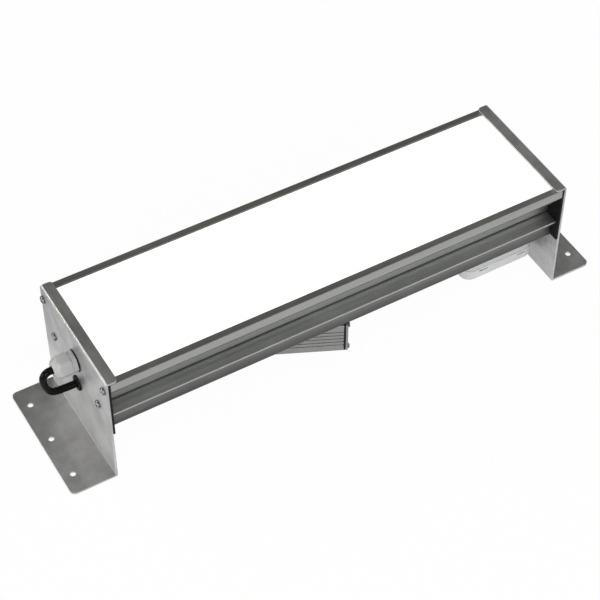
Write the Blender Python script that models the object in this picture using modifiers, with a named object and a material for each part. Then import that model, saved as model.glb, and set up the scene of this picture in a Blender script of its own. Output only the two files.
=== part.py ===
"""Linear industrial light fixture on two Z-bent end brackets.

Metres, +Z up. The origin is the middle of the plane that the two feet stand on, and +X runs along
the housing, away from the end with the cable gland. The light leaves upwards.
"""
from math import cos, hypot, pi, radians, sin, tan

import bmesh
import bpy
from mathutils import Matrix, Vector

# Values that all pieces share
CLEARANCE = 0.0003
OVERRUN = 0.002
WELD = 0.00001
ARC_STEPS = 4
HOLE_STEPS = 16
TURN_STEPS = 20
PLAIN_STEPS = 12
SMALL_STEPS = 8

# Brackets of bent sheet
SPAN = 0.540
WIDTH = 0.150
HEIGHT = 0.145
SHEET = 0.0025
BEND_RADIUS = 0.0015
FOOT_LENGTH = 0.049
FOOT_CORNER = 0.006
TOP_FLANGE = 0.0132
TOP_CORNER = 0.004
FOOT_HOLE_RADIUS = 0.003
FOOT_HOLE_OUT = 0.037
FOOT_HOLE_PITCH = 0.0515

# Gaskets between the end plates and the housing
END_GASKET = 0.002

# Housing profile, measured inwards from its side and down from its top
LIP_WIDTH = 0.008
LIP_THICKNESS = 0.0018
LIP_SIDE = 0.010
LEDGE = 0.002
WALL = 0.0025
WAIST_IN = 0.0205
COVE_DROP = 0.0289
COVE_FILLET = 0.008
WAIST_DROP = 0.0074
GROOVE_HEIGHT = 0.0032
GROOVE_DEPTH = 0.0016
FLOOR_GUSSET = 0.006
FIN_IN = 0.004
FIN_THICKNESS = 0.0021
CHANNEL_DEPTH = 0.025
LEG_SPREAD = 0.0076
LEG_FILLET = 0.005
CEILING_GUSSET = 0.008
BASE_IN = 0.0092
BASE_THICKNESS = 0.0022
SLOT_HALF = 0.033
HIGH_PORT_IN = 0.0065
HIGH_PORT_DROP = 0.012
LOW_PORT_IN = 0.0245
LOW_PORT_DROP = 0.051

# Diffuser and light source
DIFFUSER = 0.003
DIFFUSER_GRIP = 0.0045
BOARD_THICKNESS = 0.0016
BOARD_MARGIN = 0.011
BOARD_END_SPACE = 0.0159
BOARD_JOINT = 0.001
LED_SIDE = 0.005
LED_RISE = 0.0008
LED_ROW_IN = 0.017
LED_COUNT = 8
CONNECTOR_LENGTH = 0.012
CONNECTOR_WIDTH = 0.014
CONNECTOR_HEIGHT = 0.0086
CONNECTOR_IN = 0.0111

# Screws of the brackets, the driver and the box: shank, head and cross recess
BRACKET_SCREW = {"shank": 0.0017, "length": 0.020, "head": 0.0039, "rise": 0.0026, "steps": PLAIN_STEPS}
DRIVER_SCREW = {"shank": 0.0015, "length": 0.013, "head": 0.0027, "rise": 0.0020, "steps": SMALL_STEPS}
BOX_SCREW = {"shank": 0.0017, "length": 0.0091, "head": 0.0035, "rise": 0.0022, "steps": SMALL_STEPS}
RECESS_SLOT = 0.0007
RECESS_WALL = 0.0008
HEAD_CROWN_SHARE = 0.45

# Supply lead and its smooth line
LEAD_RADIUS = 0.004
LEAD_RESOLUTION = 3
LEAD_STEPS = 2
LEAD_DROP_X = 0.1880
LEAD_END_X = 0.2060
LEAD_ROUTE = [
    (-0.2383, 0, 0.0992), (-0.2440, 0, 0.0996), (-0.2505, 0, 0.1026), (-0.2570, 0, 0.1054),
    (-0.2640, 0, 0.1056), (-0.2800, 0, 0.1056), (-0.2960, 0, 0.1056), (-0.3008, 0, 0.1050),
    (-0.3052, 0, 0.1003), (-0.3061, 0, 0.0934), (-0.3049, 0, 0.0862), (-0.3022, 0, 0.0792),
    (-0.2979, 0, 0.0740), (-0.2918, 0, 0.0720), (-0.2852, 0, 0.0715), (-0.2770, 0, 0.0711),
    (-0.2690, 0, 0.0711), (-0.2610, 0, 0.0711), (-0.2420, 0, 0.0730), (-0.2150, 0, 0.0775),
    (-0.1850, 0, 0.0812), (-0.1500, 0.0010, 0.0820), (-0.1150, 0.0080, 0.0820),
    (-0.0850, 0.0140, 0.0820), (-0.0600, 0.0150, 0.0820), (-0.0350, 0.0140, 0.0820),
    (-0.0050, 0.0080, 0.0820), (0.0300, 0.0010, 0.0820), (0.0700, 0, 0.0820),
    (0.1200, 0, 0.0820), (0.1600, 0, 0.0820), (0.1760, 0, 0.0820), (0.1820, 0, 0.0804),
    (0.1864, 0, 0.0760), (LEAD_DROP_X, 0, 0.0700), (LEAD_DROP_X, 0, 0.0640), (0.1896, 0, 0.0580),
    (0.1940, 0, 0.0536), (0.2000, 0, 0.0520), (LEAD_END_X, 0, 0.0520),
]

# Cable gland, measured outwards from the end plate's outer face
GLAND_OVER_FLOOR = 0.0129
GLAND_WASHER = 0.0012
GLAND_WASHER_RADIUS = 0.0123
GLAND_THREAD_RADIUS = 0.008
GLAND_FLATS = 0.0227
GLAND_FLANGE = 0.0037
GLAND_NECK = 0.011
GLAND_POCKET_WALL = 0.0017
GLAND_POCKET = 0.0095
GLAND_SEAL_LENGTH = 0.0082
CLAMP_RING_FLANGE = 0.002
CAP_NUT_START = 0.0015
CAP_NUT_HEX = 0.012
CAP_NUT_DOME = 0.0062
CAP_NUT_CHAMFER = 0.0009
CAP_NUT_RIM = 0.0075
CAP_NUT_TURN = radians(-3.4)
LOCKNUT = 0.005
LOCKNUT_FLATS = 0.022
SPIGOT_SHOW = 0.001

# Rubber grommets in sheet and in the box's top
GROMMET_OVER_BASE = 0.0034
GROMMET_WALL = 0.0019
GROMMET_FLANGE = 0.0024
GROMMET_OUTER = 0.002
GROMMET_INNER = 0.0015
GROMMET_ROUND = 0.0008

# Driver under the housing
DRIVER_FROM_LEFT = 0.2097
DRIVER_SKEW = radians(-25)
DRIVER_LENGTH = 0.171
DRIVER_WIDTH = 0.068
DRIVER_HEIGHT = 0.0388
DRIVER_WALL = 0.003
DRIVER_CORNER = 0.0015
DRIVER_RIB_COUNT = 5
DRIVER_RIB_PITCH = 0.00495
DRIVER_RIB_FIRST = 0.0088
DRIVER_RIB_GAP = 0.0016
DRIVER_RIB_DEPTH = 0.0012
DRIVER_PORT_SIDE = 0.0045
DRIVER_PORT_EDGE = 0.00265
DRIVER_BOSS_WIDTH = 0.005
DRIVER_BOSS_HEIGHT = 0.003
DRIVER_GASKET = 0.0015
DRIVER_END_PLATE = 0.0025
INLET_RADIUS = 0.006
INLET_NECK = 0.0045
INLET_BORE = 0.0025
INLET_OUT = 0.009
INLET_IN = 0.002
INLET_RIM = 0.0035
CIRCUIT_BOARD = 0.0016
CIRCUIT_END_SPACE = 0.010
CIRCUIT_CORE = (0.034, 0.030, 0.018)
CIRCUIT_CAPACITOR_RADIUS = 0.006
CIRCUIT_CAPACITOR_RISE = 0.015
CIRCUIT_CAPACITOR_SHARES = ((-0.34, -0.2), (-0.34, 0.2), (0.30, 0.0))

# Clamp bars in the channel, with the driver's bolt and washer
BAR_THICKNESS = 0.003
BAR_WIDTH = 0.020
BAR_END_SPACE = 0.004
BOLT_RADIUS = 0.003
BOLT_FLATS = 0.010
BOLT_HEAD = 0.004
BOLT_GRIP = 0.002
WASHER_RADIUS = 0.0062
WASHER_THICKNESS = 0.0012

# Junction box under the housing
BOX_GAP = 0.00575
BOX_LENGTH = 0.0905
BOX_WIDTH = 0.0905
BOX_HEIGHT = 0.0462
BOX_CORNER = 0.012
BOX_EDGE = 0.0015
BOX_WALL = 0.002
LID_HEIGHT = 0.0129
BOX_SEAL = 0.0009
WINDOW_OUT = 0.0249
WINDOW_LENGTH = 0.0105
WINDOW_HEIGHT = 0.0024
WINDOW_DROP = 0.0018
TONGUE_WALL = 0.0014
TONGUE_ROOT = 0.0025
BOX_SCREW_OUT = 0.022
TERMINAL_SIZE = (0.036, 0.032, 0.020)
TERMINAL_POLES = 3
TERMINAL_SCREW_RADIUS = 0.0022
TERMINAL_SCREW_DEPTH = 0.005
MEMBRANE_RADIUS = 0.008
MEMBRANE_NECK = 0.0062
MEMBRANE_FLANGE = 0.0012
MEMBRANE_RECESS_RADIUS = 0.005
MEMBRANE_SKIN = 0.0008
MEMBRANE_OUT = 0.022

# Heights and places that follow
TOP = HEIGHT - SHEET - CLEARANCE
FLOOR = TOP - LIP_SIDE - COVE_DROP - WAIST_DROP - GROOVE_HEIGHT
CEILING = FLOOR - WALL
BASE = FLOOR - CHANNEL_DEPTH
BASE_TOP = BASE + BASE_THICKNESS
BELOW = BASE - CLEARANCE
HALF_WIDTH = WIDTH / 2
WAIST = HALF_WIDTH - WAIST_IN
HALF_FLOOR = WAIST - WALL - FLOOR_GUSSET
PLATE_FACE = SPAN / 2
GASKET_FACE = PLATE_FACE - SHEET - CLEARANCE
HOUSING_HALF = GASKET_FACE - END_GASKET - CLEARANCE
LEAD_BORE = LEAD_RADIUS + CLEARANCE
GLAND_HOLE = GLAND_THREAD_RADIUS + CLEARANCE
GROMMET_NECK = LEAD_BORE + GROMMET_WALL
GROMMET_RADIUS = GROMMET_NECK + GROMMET_FLANGE
GLAND_HEIGHT = FLOOR + GLAND_OVER_FLOOR
GROMMET_HEIGHT = BASE + GROMMET_OVER_BASE
DRIVER_X = DRIVER_FROM_LEFT - PLATE_FACE
BOX_X = PLATE_FACE - SHEET - BOX_GAP - BOX_LENGTH / 2
BAR_BOTTOM = BASE_TOP + CLEARANCE
BAR_TOP = BAR_BOTTOM + BAR_THICKNESS
SCREW_PLACES = [
    (side * (HALF_WIDTH - inwards), TOP - drop)
    for side in (-1, 1)
    for inwards, drop in ((HIGH_PORT_IN, HIGH_PORT_DROP), (LOW_PORT_IN, LOW_PORT_DROP))
]
SCREW_HOLE = BRACKET_SCREW["shank"] + CLEARANCE
DRIVER_SCREW_HOLE = DRIVER_SCREW["shank"] + CLEARANCE
BOX_SCREW_HOLE = BOX_SCREW["shank"] + CLEARANCE
BOLT_HOLE = BOLT_RADIUS + CLEARANCE

# Colour, roughness and metallic value of each finish
FINISHES = {
    "stainless": ((0.46, 0.45, 0.43), 0.38, 1.0),
    "anodised": ((0.27, 0.28, 0.27), 0.45, 0.8),
    "opal": ((0.95, 0.95, 0.94), 0.45, 0.0),
    "black rubber": ((0.012, 0.012, 0.013), 0.6, 0.0),
    "zinc": ((0.40, 0.40, 0.41), 0.35, 1.0),
    "dark screw": ((0.13, 0.13, 0.13), 0.4, 0.9),
    "grey nylon": ((0.47, 0.47, 0.46), 0.5, 0.0),
    "board white": ((0.85, 0.86, 0.84), 0.5, 0.0),
    "driver shell": ((0.36, 0.36, 0.36), 0.45, 0.8),
    "green board": ((0.03, 0.17, 0.08), 0.5, 0.0),
    "box grey": ((0.62, 0.63, 0.63), 0.45, 0.0),
    "box lid": ((0.72, 0.74, 0.74), 0.4, 0.0),
    "terminal white": ((0.75, 0.75, 0.70), 0.5, 0.0),
}

# Turns that lay a piece's own Z along a world axis
ALONG_LEFT = (0, -pi / 2, 0)
ALONG_RIGHT = (0, pi / 2, 0)
SECTION_TURN = (pi / 2, 0, pi / 2)


def clear_scene():
    """Removes what the scene holds and makes the two collections."""
    for item in list(bpy.data.objects):
        bpy.data.objects.remove(item, do_unlink=True)
    for name in ("industrial_light_fixture", "cutters"):
        bpy.context.scene.collection.children.link(bpy.data.collections.new(name))


def link(name, data, parent=None, place=(0, 0, 0), turn=(0, 0, 0)):
    """Adds a piece to the fixture's collection."""
    piece = bpy.data.objects.new(name, data)
    bpy.data.collections["industrial_light_fixture"].objects.link(piece)
    piece.parent = parent
    piece.location = place
    piece.rotation_euler = turn
    return piece


def paint(piece, finish):
    """Gives a piece a material of its own in one of the named finishes."""
    colour, roughness, metallic = FINISHES[finish]
    coat = bpy.data.materials.new(piece.name)
    coat.use_nodes = True
    shader = coat.node_tree.nodes["Principled BSDF"]
    shader.inputs["Base Color"].default_value = (*colour, 1)
    shader.inputs["Roughness"].default_value = roughness
    shader.inputs["Metallic"].default_value = metallic
    piece.data.materials.clear()
    piece.data.materials.append(coat)
    return piece


def mesh_from(name, bm):
    """Moves a bmesh into a new mesh."""
    mesh = bpy.data.meshes.new(name)
    bm.to_mesh(mesh)
    bm.free()
    return mesh


def settled(piece):
    """Applies a piece's modifiers and shades its round faces smooth, with crisp corners."""
    bpy.context.view_layer.update()
    graph = bpy.context.evaluated_depsgraph_get()
    mesh = bpy.data.meshes.new_from_object(piece.evaluated_get(graph))
    piece.modifiers.clear()
    piece.data = mesh
    mesh.shade_smooth()
    mesh.set_sharp_from_angle(angle=radians(35))
    return piece


def as_mesh(curve_piece):
    """Turns a curve into a mesh with its caps welded, in the same place."""
    bpy.context.view_layer.update()
    graph = bpy.context.evaluated_depsgraph_get()
    bm = bmesh.new()
    bm.from_mesh(bpy.data.meshes.new_from_object(curve_piece.evaluated_get(graph)))
    bmesh.ops.remove_doubles(bm, verts=bm.verts, dist=WELD)
    name, parent = curve_piece.name, curve_piece.parent
    world = curve_piece.matrix_world.copy()
    bpy.data.objects.remove(curve_piece)
    piece = link(name, mesh_from(name, bm), parent)
    piece.matrix_world = world
    return piece


def cutter(name, bm, parent=None):
    """Adds a hidden shape that cuts, joins or trims a piece."""
    shape = bpy.data.objects.new(name, mesh_from(name, bm))
    bpy.data.collections["cutters"].objects.link(shape)
    shape.parent = parent
    shape.hide_render = True
    shape.display_type = 'WIRE'
    return shape


def boolean(piece, shape, operation):
    """Cuts, joins or trims a piece with a hidden shape."""
    modifier = piece.modifiers.new(shape.name, 'BOOLEAN')
    modifier.operation = operation
    modifier.solver = 'EXACT'
    modifier.object = shape
    return piece


def add_round(bm, centre, radius, depth, axis=(0, 0, 1), steps=HOLE_STEPS):
    """Adds a closed cylinder to a bmesh, centred on a point along an axis."""
    turn = Vector((0, 0, 1)).rotation_difference(Vector(axis)).to_matrix().to_4x4()
    bmesh.ops.create_cone(
        bm, cap_ends=True, segments=steps, radius1=radius, radius2=radius, depth=depth,
        matrix=Matrix.Translation(centre) @ turn,
    )


def add_block(bm, centre, size):
    """Adds a closed block to a bmesh."""
    bmesh.ops.create_cube(bm, size=1, matrix=Matrix.Translation(centre) @ Matrix.Diagonal((*size, 1)))


def drill(piece, holes, axis, parent=None):
    """Cuts round holes. Each one is a centre, a radius and the depth of material there."""
    bm = bmesh.new()
    for centre, radius, depth in holes:
        add_round(bm, centre, radius, depth + 2 * OVERRUN, axis)
    count = len(piece.modifiers)
    return boolean(piece, cutter(f"{piece.name}_holes_{count}", bm, parent), 'DIFFERENCE')


def rounded(corners, closed=True):
    """Points through the corners (u, v), with an arc at each corner (u, v, radius)."""
    points = []
    for index, corner in enumerate(corners):
        here = Vector(corner[:2])
        if len(corner) == 2:
            points.append(here)
            continue
        radius = corner[2]
        back = (Vector(corners[index - 1][:2]) - here).normalized()
        ahead = (Vector(corners[(index + 1) % len(corners)][:2]) - here).normalized()
        half = back.angle(ahead) / 2
        centre = here + (back + ahead).normalized() * (radius / sin(half))
        spoke = here + back * (radius / tan(half)) - centre
        sweep = pi - 2 * half
        if back.cross(ahead) > 0:
            sweep = -sweep
        for step in range(ARC_STEPS + 1):
            points.append(centre + Matrix.Rotation(sweep * step / ARC_STEPS, 2) @ spoke)
    return points


def circle(u, v, radius, steps=HOLE_STEPS):
    """Points of a round outline."""
    return [
        (u + radius * cos(2 * pi * step / steps), v + radius * sin(2 * pi * step / steps))
        for step in range(steps)
    ]


def block_outline(length, width, corner):
    """A rectangle round the origin with round corners."""
    return rounded([
        (length / 2, width / 2, corner), (-length / 2, width / 2, corner),
        (-length / 2, -width / 2, corner), (length / 2, -width / 2, corner),
    ])


def slab(name, outlines, thickness, parent=None, place=(0, 0, 0), turn=(0, 0, 0)):
    """A flat filled curve with thickness. The first outline is the rim, the others are holes."""
    curve = bpy.data.curves.new(name, 'CURVE')
    curve.dimensions = '2D'
    curve.fill_mode = 'BOTH'
    curve.extrude = thickness / 2
    for outline in outlines:
        spline = curve.splines.new('POLY')
        spline.points.add(len(outline) - 1)
        for point, (u, v) in zip(spline.points, outline):
            point.co = (u, v, 0, 1)
        spline.use_cyclic_u = True
    return link(name, curve, parent, place, turn)


def turned(name, profile, parent=None, place=(0, 0, 0), turn=(0, 0, 0), ring=False, steps=TURN_STEPS):
    """Turns (radius, height) points about Z. They run outwards, down the outside and back in."""
    bm = bmesh.new()
    points = [bm.verts.new((radius, 0, height)) for radius, height in profile]
    for pair in zip(points, points[1:]):
        bm.edges.new(pair)
    if ring:
        bm.edges.new((points[-1], points[0]))
    piece = link(name, mesh_from(name, bm), parent, place, turn)
    screw = piece.modifiers.new("Turn", 'SCREW')
    screw.axis = 'Z'
    screw.steps = steps
    screw.render_steps = steps
    screw.use_merge_vertices = True
    screw.merge_threshold = WELD
    return piece


def hexagon(piece, flats, low, high, angle=0):
    """Trims a turned piece to a hexagon across flats, which has flats at its own +X and -X."""
    bm = bmesh.new()
    add_round(bm, (0, 0, (low + high) / 2), flats / 2 / cos(pi / 6), high - low, steps=6)
    bmesh.ops.rotate(bm, verts=bm.verts, cent=(0, 0, 0), matrix=Matrix.Rotation(angle, 3, 'Z'))
    shape = cutter(f"{piece.name}_hexagon", bm, piece)
    return boolean(piece, shape, 'INTERSECT')


def empty(name, place, turn=(0, 0, 0)):
    """A frame that carries a group of pieces."""
    return link(name, None, None, place, turn)


def bracket(name, side):
    """Z-bent sheet: the foot points outwards, and the top flange inwards. side is -1 or 1."""
    plate = PLATE_FACE - SHEET / 2
    bend = BEND_RADIUS + SHEET / 2
    line = rounded([
        (PLATE_FACE + FOOT_LENGTH, SHEET / 2),
        (plate, SHEET / 2, bend),
        (plate, HEIGHT - SHEET / 2, bend),
        (PLATE_FACE - TOP_FLANGE, HEIGHT - SHEET / 2),
    ])
    bm = bmesh.new()
    rim = [bm.verts.new((side * x, -HALF_WIDTH, z)) for x, z in line]
    chain = [bm.edges.new(pair) for pair in zip(rim, rim[1:])]
    swept = bmesh.ops.extrude_edge_only(bm, edges=chain)["geom"]
    far = [item for item in swept if isinstance(item, bmesh.types.BMVert)]
    bmesh.ops.translate(bm, verts=far, vec=(0, WIDTH, 0))
    for reach, radius in ((line[0].x, FOOT_CORNER), (line[-1].x, TOP_CORNER)):
        corners = [vert for vert in bm.verts if abs(abs(vert.co.x) - reach) < WELD]
        bmesh.ops.bevel(
            bm, geom=corners, offset=radius, segments=ARC_STEPS, profile=0.5, affect='VERTICES'
        )
    bmesh.ops.recalc_face_normals(bm, faces=bm.faces)
    piece = link(name, mesh_from(name, bm))
    sheet = piece.modifiers.new("Sheet", 'SOLIDIFY')
    sheet.thickness = SHEET
    sheet.offset = 0
    sheet.use_even_offset = True
    foot_hole_x = side * (PLATE_FACE + FOOT_HOLE_OUT)
    foot_holes = [
        ((foot_hole_x, row * FOOT_HOLE_PITCH, SHEET / 2), FOOT_HOLE_RADIUS, SHEET) for row in (-1, 0, 1)
    ]
    plate_holes = [((side * plate, y, z), SCREW_HOLE, SHEET) for y, z in SCREW_PLACES]
    if side < 0:
        plate_holes.append(((side * plate, 0, GLAND_HEIGHT), GLAND_HOLE, SHEET))
        plate_holes.append(((side * plate, 0, GROMMET_HEIGHT), GROMMET_NECK + CLEARANCE, SHEET))
    drill(piece, foot_holes, (0, 0, 1))
    drill(piece, plate_holes, (1, 0, 0))
    return paint(piece, "stainless")


def end_gasket(name, side):
    """Black sheet between an end plate and the housing's end. It stops below the plate's bend."""
    middle = side * (GASKET_FACE - END_GASKET / 2)
    top = TOP - BEND_RADIUS
    outline = [(-HALF_WIDTH, BASE), (HALF_WIDTH, BASE), (HALF_WIDTH, top), (-HALF_WIDTH, top)]
    piece = as_mesh(slab(name, [outline], END_GASKET, place=(middle, 0, 0), turn=SECTION_TURN))
    holes = [((middle, y, z), SCREW_HOLE, END_GASKET) for y, z in SCREW_PLACES]
    if side < 0:
        holes.append(((middle, 0, GLAND_HEIGHT), GLAND_HOLE, END_GASKET))
        holes.append(((middle, 0, GROMMET_HEIGHT), GROMMET_RADIUS + CLEARANCE, END_GASKET))
    return paint(drill(piece, holes, (1, 0, 0)), "black rubber")


def leg_line():
    """Half width of the leg's foot and its level wall, and the leg's spread per metre of height."""
    slope = LEG_SPREAD / (FLOOR - FIN_THICKNESS - BASE_TOP)
    return WAIST + LEG_SPREAD, WALL * hypot(1, slope), slope


def housing_profile():
    """Aluminium extrusion: light chamber above, open channel below, with four screw ports."""
    lip_in = HALF_WIDTH - LIP_WIDTH
    lip_under = TOP - LIP_THICKNESS
    ledge = lip_under - DIFFUSER - 2 * CLEARANCE
    ledge_in = lip_in - LEDGE
    seat = lip_in + DIFFUSER_GRIP
    cove_top = TOP - LIP_SIDE
    cove_end = cove_top - COVE_DROP
    groove_top = FLOOR + GROOVE_HEIGHT
    steep = COVE_DROP / WAIST_IN
    inner_waist = WAIST - WALL
    inner_cove = cove_end + WALL * hypot(1, steep) - WAIST * steep
    fin = HALF_WIDTH - FIN_IN
    fin_under = FLOOR - FIN_THICKNESS
    foot, level_wall, slope = leg_line()
    haunch = CEILING - CEILING_GUSSET
    haunch_side = WAIST + (fin_under - haunch) * slope - level_wall
    half = [
        (HALF_FLOOR, FLOOR),
        (inner_waist, FLOOR + FLOOR_GUSSET),
        (inner_waist, inner_cove + inner_waist * steep),
        (ledge_in, inner_cove + ledge_in * steep),
        (ledge_in, ledge),
        (seat, ledge),
        (seat, lip_under),
        (lip_in, lip_under),
        (lip_in, TOP),
        (HALF_WIDTH, TOP),
        (HALF_WIDTH, cove_top),
        (WAIST, cove_end, COVE_FILLET),
        (WAIST, groove_top),
        (WAIST - GROOVE_DEPTH, groove_top),
        (WAIST - GROOVE_DEPTH, FLOOR),
        (fin, FLOOR),
        (fin, fin_under),
        (WAIST, fin_under),
        (foot, BASE_TOP, LEG_FILLET),
        (HALF_WIDTH - BASE_IN, BASE_TOP),
        (HALF_WIDTH - BASE_IN, BASE),
        (SLOT_HALF, BASE),
        (SLOT_HALF, BASE_TOP),
        (foot - level_wall, BASE_TOP),
        (haunch_side, haunch),
        (haunch_side - CEILING_GUSSET, CEILING),
    ]
    mirrored = [(-corner[0], *corner[1:]) for corner in reversed(half)]
    ports = [circle(y, z, SCREW_HOLE) for y, z in SCREW_PLACES]
    outlines = [rounded(half + mirrored), *ports]
    return paint(slab("housing_profile", outlines, 2 * HOUSING_HALF, turn=SECTION_TURN), "anodised")


def diffuser():
    """Opal plate held under the lips."""
    half = HALF_WIDTH - LIP_WIDTH + DIFFUSER_GRIP - CLEARANCE
    top = TOP - LIP_THICKNESS - CLEARANCE
    bm = bmesh.new()
    add_block(bm, (0, 0, top - DIFFUSER / 2), (2 * HOUSING_HALF, 2 * half, DIFFUSER))
    return paint(link("diffuser", mesh_from("diffuser", bm)), "opal")


def led_board(name, side):
    """A strip board with two rows of light packages standing on it."""
    length = HOUSING_HALF - BOARD_END_SPACE - BOARD_JOINT / 2
    middle = side * (BOARD_JOINT + length) / 2
    half = HALF_FLOOR - BOARD_MARGIN
    low = FLOOR + CLEARANCE
    bm = bmesh.new()
    add_block(bm, (middle, 0, low + BOARD_THICKNESS / 2), (length, 2 * half, BOARD_THICKNESS))
    piece = link(name, mesh_from(name, bm))
    packages = bmesh.new()
    pitch = length / LED_COUNT
    depth = LED_RISE + BOARD_THICKNESS / 2
    for column in range(LED_COUNT):
        x = middle - length / 2 + (column + 1 / 2) * pitch
        for row in (-1, 1):
            place = (x, row * (half - LED_ROW_IN), low + BOARD_THICKNESS + LED_RISE - depth / 2)
            add_block(packages, place, (LED_SIDE, LED_SIDE, depth))
    return paint(boolean(piece, cutter(f"{name}_packages", packages), 'UNION'), "board white")


def led_connector():
    """The socket on the first board that the supply lead ends in."""
    left = -HOUSING_HALF + BOARD_END_SPACE + CONNECTOR_IN
    low = FLOOR + 2 * CLEARANCE + BOARD_THICKNESS
    size = (CONNECTOR_LENGTH, CONNECTOR_WIDTH, CONNECTOR_HEIGHT)
    bm = bmesh.new()
    add_block(bm, (left + CONNECTOR_LENGTH / 2, 0, low + CONNECTOR_HEIGHT / 2), size)
    return paint(link("led_connector", mesh_from("led_connector", bm)), "terminal white")


def screw_mesh(name, sizes):
    """A pan head screw with a cross recess, its head upwards and its underside at zero."""
    shank, length, head, rise = sizes["shank"], sizes["length"], sizes["head"], sizes["rise"]
    crown = rise * HEAD_CROWN_SHARE
    profile = [(0, rise)]
    for step in range(1, ARC_STEPS + 1):
        angle = step * pi / 2 / ARC_STEPS
        profile.append((head - crown + crown * sin(angle), rise - crown + crown * cos(angle)))
    profile += [(head, 0), (shank, 0), (shank, -length + shank), (shank / 2, -length), (0, -length)]
    piece = turned(name, profile, steps=sizes["steps"])
    reach = 2 * (head - RECESS_WALL) - 2 * crown
    depth = rise - RECESS_WALL + OVERRUN
    middle = RECESS_WALL + depth / 2
    bm = bmesh.new()
    add_block(bm, (0, 0, middle), (reach, 2 * RECESS_SLOT, depth))
    bar = cutter(f"{name}_slot", bm)
    bm = bmesh.new()
    add_block(bm, (0, 0, middle), (2 * RECESS_SLOT, reach, depth))
    cross = cutter(f"{name}_cross", bm)
    settled(boolean(boolean(piece, bar, 'DIFFERENCE'), cross, 'DIFFERENCE'))
    mesh = piece.data
    bpy.data.objects.remove(piece)
    return mesh


def bracket_screws():
    """Four screws through each end plate into the housing's ports."""
    mesh = screw_mesh("bracket_screw", BRACKET_SCREW)
    out = PLATE_FACE + CLEARANCE
    for end, side, turn in (("left", -1, ALONG_LEFT), ("right", 1, ALONG_RIGHT)):
        for number, (y, z) in enumerate(SCREW_PLACES, 1):
            link(f"{end}_bracket_screw_{number}", mesh, None, (side * out, y, z), turn)
    paint(bpy.data.objects["left_bracket_screw_1"], "dark screw")


def cable_gland():
    """Gland on the left end plate. Its own Z points outwards from the plate's outer face."""
    axis = empty("gland_axis", (-PLATE_FACE, 0, GLAND_HEIGHT), ALONG_LEFT)
    bore = GLAND_THREAD_RADIUS
    flange_low = GLAND_WASHER + 2 * CLEARANCE
    flange_top = flange_low + GLAND_FLANGE
    neck_top = flange_top + GLAND_NECK
    nut_seat = -(SHEET + END_GASKET + 3 * CLEARANCE)
    spigot_end = nut_seat - LOCKNUT - SPIGOT_SHOW
    pocket = GLAND_THREAD_RADIUS - GLAND_POCKET_WALL
    pocket_low = neck_top - GLAND_POCKET
    corner = GLAND_FLATS / 2 / cos(pi / 6)
    paint(settled(turned("gland_washer", [
        (bore + CLEARANCE, flange_low - CLEARANCE), (GLAND_WASHER_RADIUS, flange_low - CLEARANCE),
        (GLAND_WASHER_RADIUS, CLEARANCE), (bore + CLEARANCE, CLEARANCE),
    ], axis, ring=True)), "black rubber")
    body = turned("gland_body", [
        (pocket, neck_top), (bore, neck_top), (bore, flange_top), (corner + CLEARANCE, flange_top),
        (corner + CLEARANCE, flange_low), (bore, flange_low), (bore, spigot_end),
        (LEAD_BORE, spigot_end), (LEAD_BORE, pocket_low), (pocket, pocket_low),
    ], axis, ring=True)
    hexagon(body, GLAND_FLATS, spigot_end - OVERRUN, neck_top + OVERRUN)
    paint(settled(body), "grey nylon")
    seal_low = pocket_low + CLEARANCE
    seal_top = seal_low + GLAND_SEAL_LENGTH
    seal_radius = pocket - CLEARANCE
    paint(settled(turned("gland_seal", [
        (LEAD_BORE, seal_top), (seal_radius, seal_top), (seal_radius, seal_low), (LEAD_BORE, seal_low),
    ], axis, ring=True)), "black rubber")
    ring_low = neck_top + CLEARANCE
    ring_top = ring_low + CLAMP_RING_FLANGE
    paint(settled(turned("gland_clamp_ring", [
        (LEAD_BORE, ring_top), (bore, ring_top), (bore, ring_low), (seal_radius, ring_low),
        (seal_radius, seal_top + CLEARANCE), (LEAD_BORE, seal_top + CLEARANCE),
    ], axis, ring=True)), "grey nylon")
    nut_low = flange_top + CAP_NUT_START
    hex_top = nut_low + CAP_NUT_HEX
    nut_top = hex_top + CAP_NUT_DOME
    shoulder = ring_top + CLEARANCE
    nut = turned("gland_cap_nut", [
        (LEAD_BORE, nut_top), (CAP_NUT_RIM, nut_top), (GLAND_FLATS / 2, hex_top + CAP_NUT_CHAMFER),
        (corner + CLEARANCE, hex_top - CAP_NUT_CHAMFER), (corner + CLEARANCE, nut_low + CAP_NUT_CHAMFER),
        (corner - CAP_NUT_CHAMFER, nut_low), (bore + CLEARANCE, nut_low), (bore + CLEARANCE, shoulder),
        (LEAD_BORE, shoulder),
    ], axis, ring=True)
    hexagon(nut, GLAND_FLATS, nut_low - OVERRUN, nut_top + OVERRUN, CAP_NUT_TURN)
    paint(settled(nut), "grey nylon")
    locknut = turned("gland_locknut", [
        (bore + CLEARANCE, nut_seat), (corner + CLEARANCE, nut_seat),
        (corner + CLEARANCE, nut_seat - LOCKNUT), (bore + CLEARANCE, nut_seat - LOCKNUT),
    ], axis, ring=True)
    hexagon(locknut, LOCKNUT_FLATS, nut_seat - LOCKNUT - OVERRUN, nut_seat + OVERRUN)
    paint(settled(locknut), "grey nylon")


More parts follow.
